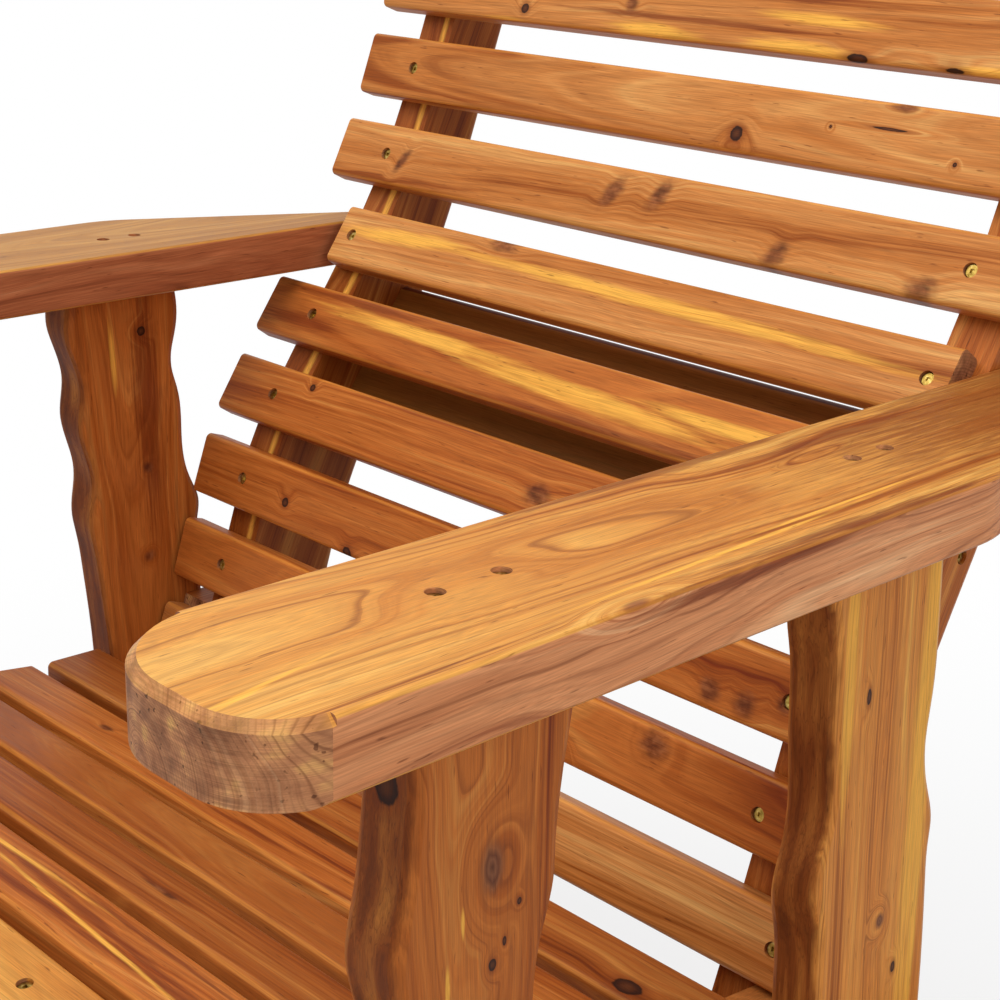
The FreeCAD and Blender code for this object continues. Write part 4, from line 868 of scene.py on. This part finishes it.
BACK_MARKS: dict[int, Marks] = {
    1: Marks(Cut.RIFT, Heart.WARM, knots=(Knot(-120, -8, 7.8, kind=Branch.SMUDGE),)),
    2: Marks(Cut.PLAIN, Heart.RED, knots=(
        Knot(200, 14, 10.4, 1.3, kind=Branch.SMUDGE), Knot(-60, -10, 5), Knot(120, -18, 4))),
    3: Marks(Cut.RIFT, Heart.RED, knots=(
        Knot(-232, -5, 4), Knot(-145, -24, 5), Knot(232, -13, 9.1, kind=Branch.SMUDGE),
        Knot(262, -13, 9.1, kind=Branch.SMUDGE), Knot(292, -3, 6.5, kind=Branch.SMUDGE))),
    4: Marks(Cut.QUARTER, Heart.RED, knots=(Knot(30, -6, 9.1, 1.5, kind=Branch.SMUDGE), Knot(-250, 16, 3))),
    5: Marks(Cut.PLAIN, Heart.RED, 4.0, pale_streaks=(
        Streak(-150, 8, 130, 7, -1), Streak(20, -2, 150, 9, -2), Streak(170, 6, 90, 6)),
        stains=(Streak(-300, -8, 60, 9), Streak(-250, 20, 90, 5), Streak(100, -22, 200, 5))),
    6: Marks(Cut.RIFT, Heart.WARM, 4.0, line=0.3, knots=(Knot(-117, 22, 6.5, 2.4, kind=Branch.SMUDGE),),
             pale_streaks=(Streak(-230, 8, 80, 7, 3), Streak(60, 5, 240, 6, -1))),
    7: Marks(Cut.RIFT, Heart.WARM, line=0.3, knots=(
        Knot(-29, 5, 7.8, 1.9, 55, Branch.SMUDGE), Knot(18, 10, 7.8, 1.8, 60, Branch.SMUDGE),
        Knot(-271, -4, 5.2, 2.4, 60, Branch.SMUDGE), Knot(139, -17, 7.8, 1.6, 50, Branch.SMUDGE),
        Knot(262, -20, 9.1, 1.4, 20, Branch.SMUDGE))),
    8: Marks(Cut.PLAIN, Heart.WARM, line=0.32, knots=(
        Knot(70, -12, 5.5), Knot(206, 23, 3.4, 3.0, kind=Branch.SMUDGE), Knot(199, 7, 1.0, 14.0),
        Knot(257, -10, 1.6), Knot(150, 3, 1.2))),
    9: Marks(Cut.RIFT, Heart.WARM, knots=(
        Knot(-180, -15, 4), Knot(-66, -3, 6.5, kind=Branch.SMUDGE), Knot(155, -25, 4, 2.4, depth=0),
        Knot(235, -26, 3, 3.0, depth=0)),
        pale_streaks=(Streak(-36, -22, 46, 7, -2), Streak(115, 0, 56, 5, -1), Streak(105, -23, 52, 7, -2),
              Streak(264, -25, 34, 6), Streak(-200, -28, 30, 5)),
        stains=(Streak(-120, 12, 160, 4), Streak(60, 14, 120, 4), Streak(0, -10, 140, 3))),
}
SEAT_MARKS: dict[int, Marks] = {
    1: Marks(Cut.RIFT, Heart.DEEP, knots=(Knot(299, -14, 7, 1.5), Knot(-120, 12, 6.5, kind=Branch.SMUDGE))),
    2: Marks(Cut.RIFT, Heart.RED, knots=(Knot(-209, 2, 4.5, 1.5, kind=Branch.SMUDGE),), stains=(
        Streak(-2, -13, 50, 3, 3), Streak(118, -21, 60, 3, 3), Streak(60, 4, 70, 2))),
    3: Marks(Cut.PLAIN, Heart.DEEP, line=0.3),
    4: Marks(Cut.QUARTER, Heart.DEEP, line=0.3, knots=(Knot(60, -2, 2.6, 8.0, kind=Branch.SMUDGE),)),
    5: Marks(Cut.RIFT, Heart.RED, 5.0, 12.0, stains=(
        Streak(60, 4, 130, 4, -3), Streak(-10, -12, 120, 4, 2), Streak(180, -6, 160, 5, 3),
        Streak(120, 16, 120, 2)), pale_streaks=(Streak(70, -5, 140, 2.2, -3), Streak(-60, 10, 140, 2.4, 2))),
    6: Marks(Cut.PLAIN, Heart.GOLD, line=0.3),
}
ARM_MARKS: dict[str, Marks] = {
    # The near arm's PINK sides are painted light, the lit tone of its sides.
    "arm_right": Marks(
        Cut.PLAIN, Heart.GOLD, 3.4, 9.0, -0.05, 0.75, 0.24, 0.3, side_shading=Heart.PINK, nose=-304.0,
        knots=(Knot(-140, -61, 5, 2.6, 4, Branch.EYE, -3), Knot(-180, 10, 13, 3.0, 0, Branch.SWIRL),
               Knot(60, 46, 12, 3.4, 6, Branch.SWIRL), Knot(94, 24, 4, 5.0, 4, Branch.SWIRL)),
        pale_streaks=(Streak(-335, -28, 24, 1.3, 12), Streak(-318, -23, 42, 1.6, 10),
              Streak(-60, -44, 120, 1.8, 2), Streak(40, -36, 90, 1.5, 1)),
        stains=(Streak(60, -62, 160, 7, -3), Streak(150, 40, 120, 8), Streak(-60, -64, 130, 3),
                Streak(-262, -57.5, 70, 1.2, 1.0), Streak(190, 18, 110, 3, 2), Streak(230, -8, 110, 4, -2),
                Streak(360, 10, 300, 90), Streak(20, 60, 150, 6), Streak(130, -62, 200, 9, 0, -7),
                Streak(-40, -64, 120, 4, 0, -13))),
    # The far arm's ROSE sides are painted shade.
    "arm_left": Marks(Cut.PLAIN, Heart.TAN, 4.0, 8.0, 0.05, 0.4, side_shading=Heart.ROSE),
}
POST_MARKS: dict[str, Marks] = {
    "front_post_right": Marks(
        Cut.PLAIN, Heart.RED, 2.6, 7.0, 0.04, 0.6, 0.4, live=True,
        knots=(Knot(207, -3, 8.0, 1.9, kind=Branch.EYE), Knot(153, -3, 2.4, 1.4), Knot(163, -11, 1.3, 2.0),
               Knot(181, -21, 1.4, 1.4), Knot(261, 46, 7.5, 1.3, depth=-19)),
        pale_streaks=(Streak(184, 16, 9, 1.3), Streak(153, 26, 12, 1.6))),
    "rear_post_right": Marks(
        Cut.RIFT, Heart.OCHRE, 3.2, 6.0, 0.03, 0.6, 0.5, live=True,
        knots=(Knot(40, -2, 4.2, 1.4, kind=Branch.EYE), Knot(201, 26, 2.0, 2.6), Knot(-1, -20, 2.2, 1.8)),
        pale_streaks=(Streak(240, 46, 130, 6, 1), Streak(170, -32, 250, 11, -1), Streak(40, -38, 160, 5))),
    "rear_post_left": Marks(
        Cut.PLAIN, Heart.RED, 3.4, 9.0, 0.03, 0.5, live=True,
        knots=(Knot(265, -3, 4), Knot(145, -1, 5.2, kind=Branch.SMUDGE),
               Knot(65, 3, 5.2, kind=Branch.SMUDGE)),
        pale_streaks=(Streak(248, 26, 32, 3.0, 2),), stains=(Streak(200, -5, 120, 14),)),
    "front_post_left": Marks(Cut.RIFT, Heart.RED, live=True, knots=(Knot(120, 4, 6, 1.4),)),
}
UPRIGHT_MARKS: dict[str, Marks] = {
    "back_upright_right": Marks(Cut.QUARTER, Heart.RED),
    # This long pale streak is a painted highlight along the upright's inner front edge, for a rounded edge
    # catching the light that the frame lacks.
    "back_upright_left": Marks(Cut.QUARTER, Heart.DEEP, pale_streaks=(Streak(0, -10, 500, 4),)),
}


@dataclass
class SubAssembly:
    """Boards that are put together first, each dressed in cedar of its own."""

    def boards(self) -> tuple[SlatRow | BoardSet, ...]:
        """Rows of slats and sets of boards in it."""
        return ()

    def dress(self) -> None:
        """Dress every board."""
        for group in self.boards():
            group.dress()


@dataclass
class ChairBack(SubAssembly):
    """Nine slats up the front of two curved uprights, with a cross rail behind them."""

    start: tuple[float, float] = (56.0, 392.0)
    leans: tuple[float, ...] = (22, 19, 21, 35, 37, 36, 28, 22, 22)
    pitch: float = 76.4
    upright_lean: float = 28.6

    def boards(self) -> tuple[SlatRow | BoardSet, ...]:
        """The slats, the uprights and the cross rail."""
        up, out = (tuple(axis) for axis in leaning(self.upright_lean))
        uprights = tuple(f"back_upright_{side}" for side in SIDES)
        return (SlatRow("back_slat", self.start, self.leans, self.pitch, BACK_MARKS),
                BoardSet(uprights, up, out, UPRIGHT_MARKS, 43.0),
                # The cross rail's near-black heartwood is painted shade, for the shade behind the slats.
                BoardSet(("back_cross_rail",), ALONG_X, FORWARD,
                         {"back_cross_rail": Marks(Cut.RIFT, Heart.BROWN)}, 57.0))


@dataclass
class ChairSeat(SubAssembly):
    """Six slats over two curved rails and two stretchers."""

    start: tuple[float, float] = (-29.0, 394.0)
    leans: tuple[float, ...] = (93, 99.5, 104, 105, 96, 88)
    pitch: float = -64.0

    def boards(self) -> tuple[SlatRow | BoardSet, ...]:
        """The slats, the rails and the stretchers."""
        rails = tuple(f"seat_rail_{side}" for side in SIDES)
        stretchers = tuple(f"seat_stretcher_{end}" for end in ENDS)
        return (SlatRow("seat_slat", self.start, self.leans, self.pitch, SEAT_MARKS),
                BoardSet(rails, ALONG_Y, ALONG_X, seed=51.0),
                BoardSet(stretchers, ALONG_X, FORWARD, seed=60.1))


@dataclass
class ArmFrames(SubAssembly):
    """Two broad arms on four posts with live edges."""

    arms: tuple[str, ...] = ("arm_right", "arm_left")
    posts: tuple[str, ...] = ("front_post_right", "rear_post_right", "rear_post_left", "front_post_left")

    def boards(self) -> tuple[SlatRow | BoardSet, ...]:
        """The arms and the posts."""
        return (BoardSet(self.arms, ALONG_Y, ALONG_Z, ARM_MARKS),
                BoardSet(self.posts, ALONG_Z, ALONG_X, POST_MARKS, 31.0))


@dataclass
class FloorBase(SubAssembly):
    """Two sleds with legs and top rails, tied by two stretchers and pinned with dowels."""

    long_boards: tuple[str, ...] = ("sled", "base_top_rail")

    def boards(self) -> tuple[SlatRow | BoardSet, ...]:
        """The stretchers, the sleds and top rails, the legs and the dowels."""
        stretchers = tuple(f"base_stretcher_{end}" for end in ENDS)
        longs = tuple(f"{name}_{side}" for name in self.long_boards for side in SIDES)
        legs = tuple(f"base_leg_{end}_{side}" for end in ENDS for side in SIDES)
        return (BoardSet(stretchers, ALONG_X, FORWARD, seed=61.0),
                BoardSet(longs, ALONG_Y, ALONG_X, seed=67.0),
                BoardSet(legs, ALONG_Z, ALONG_X, seed=83.0),
                BoardSet(("base_dowels",), ALONG_Z, ALONG_X, seed=97.0))


def main() -> None:
    """Build and dress the sub-assemblies in order."""
    for assembly in (ChairBack(), ChairSeat(), ArmFrames(), FloorBase(), Hardware()):
        assembly.dress()
    Studio().build()


if __name__ == "__main__":
    logging.basicConfig(level=logging.INFO)
    main()
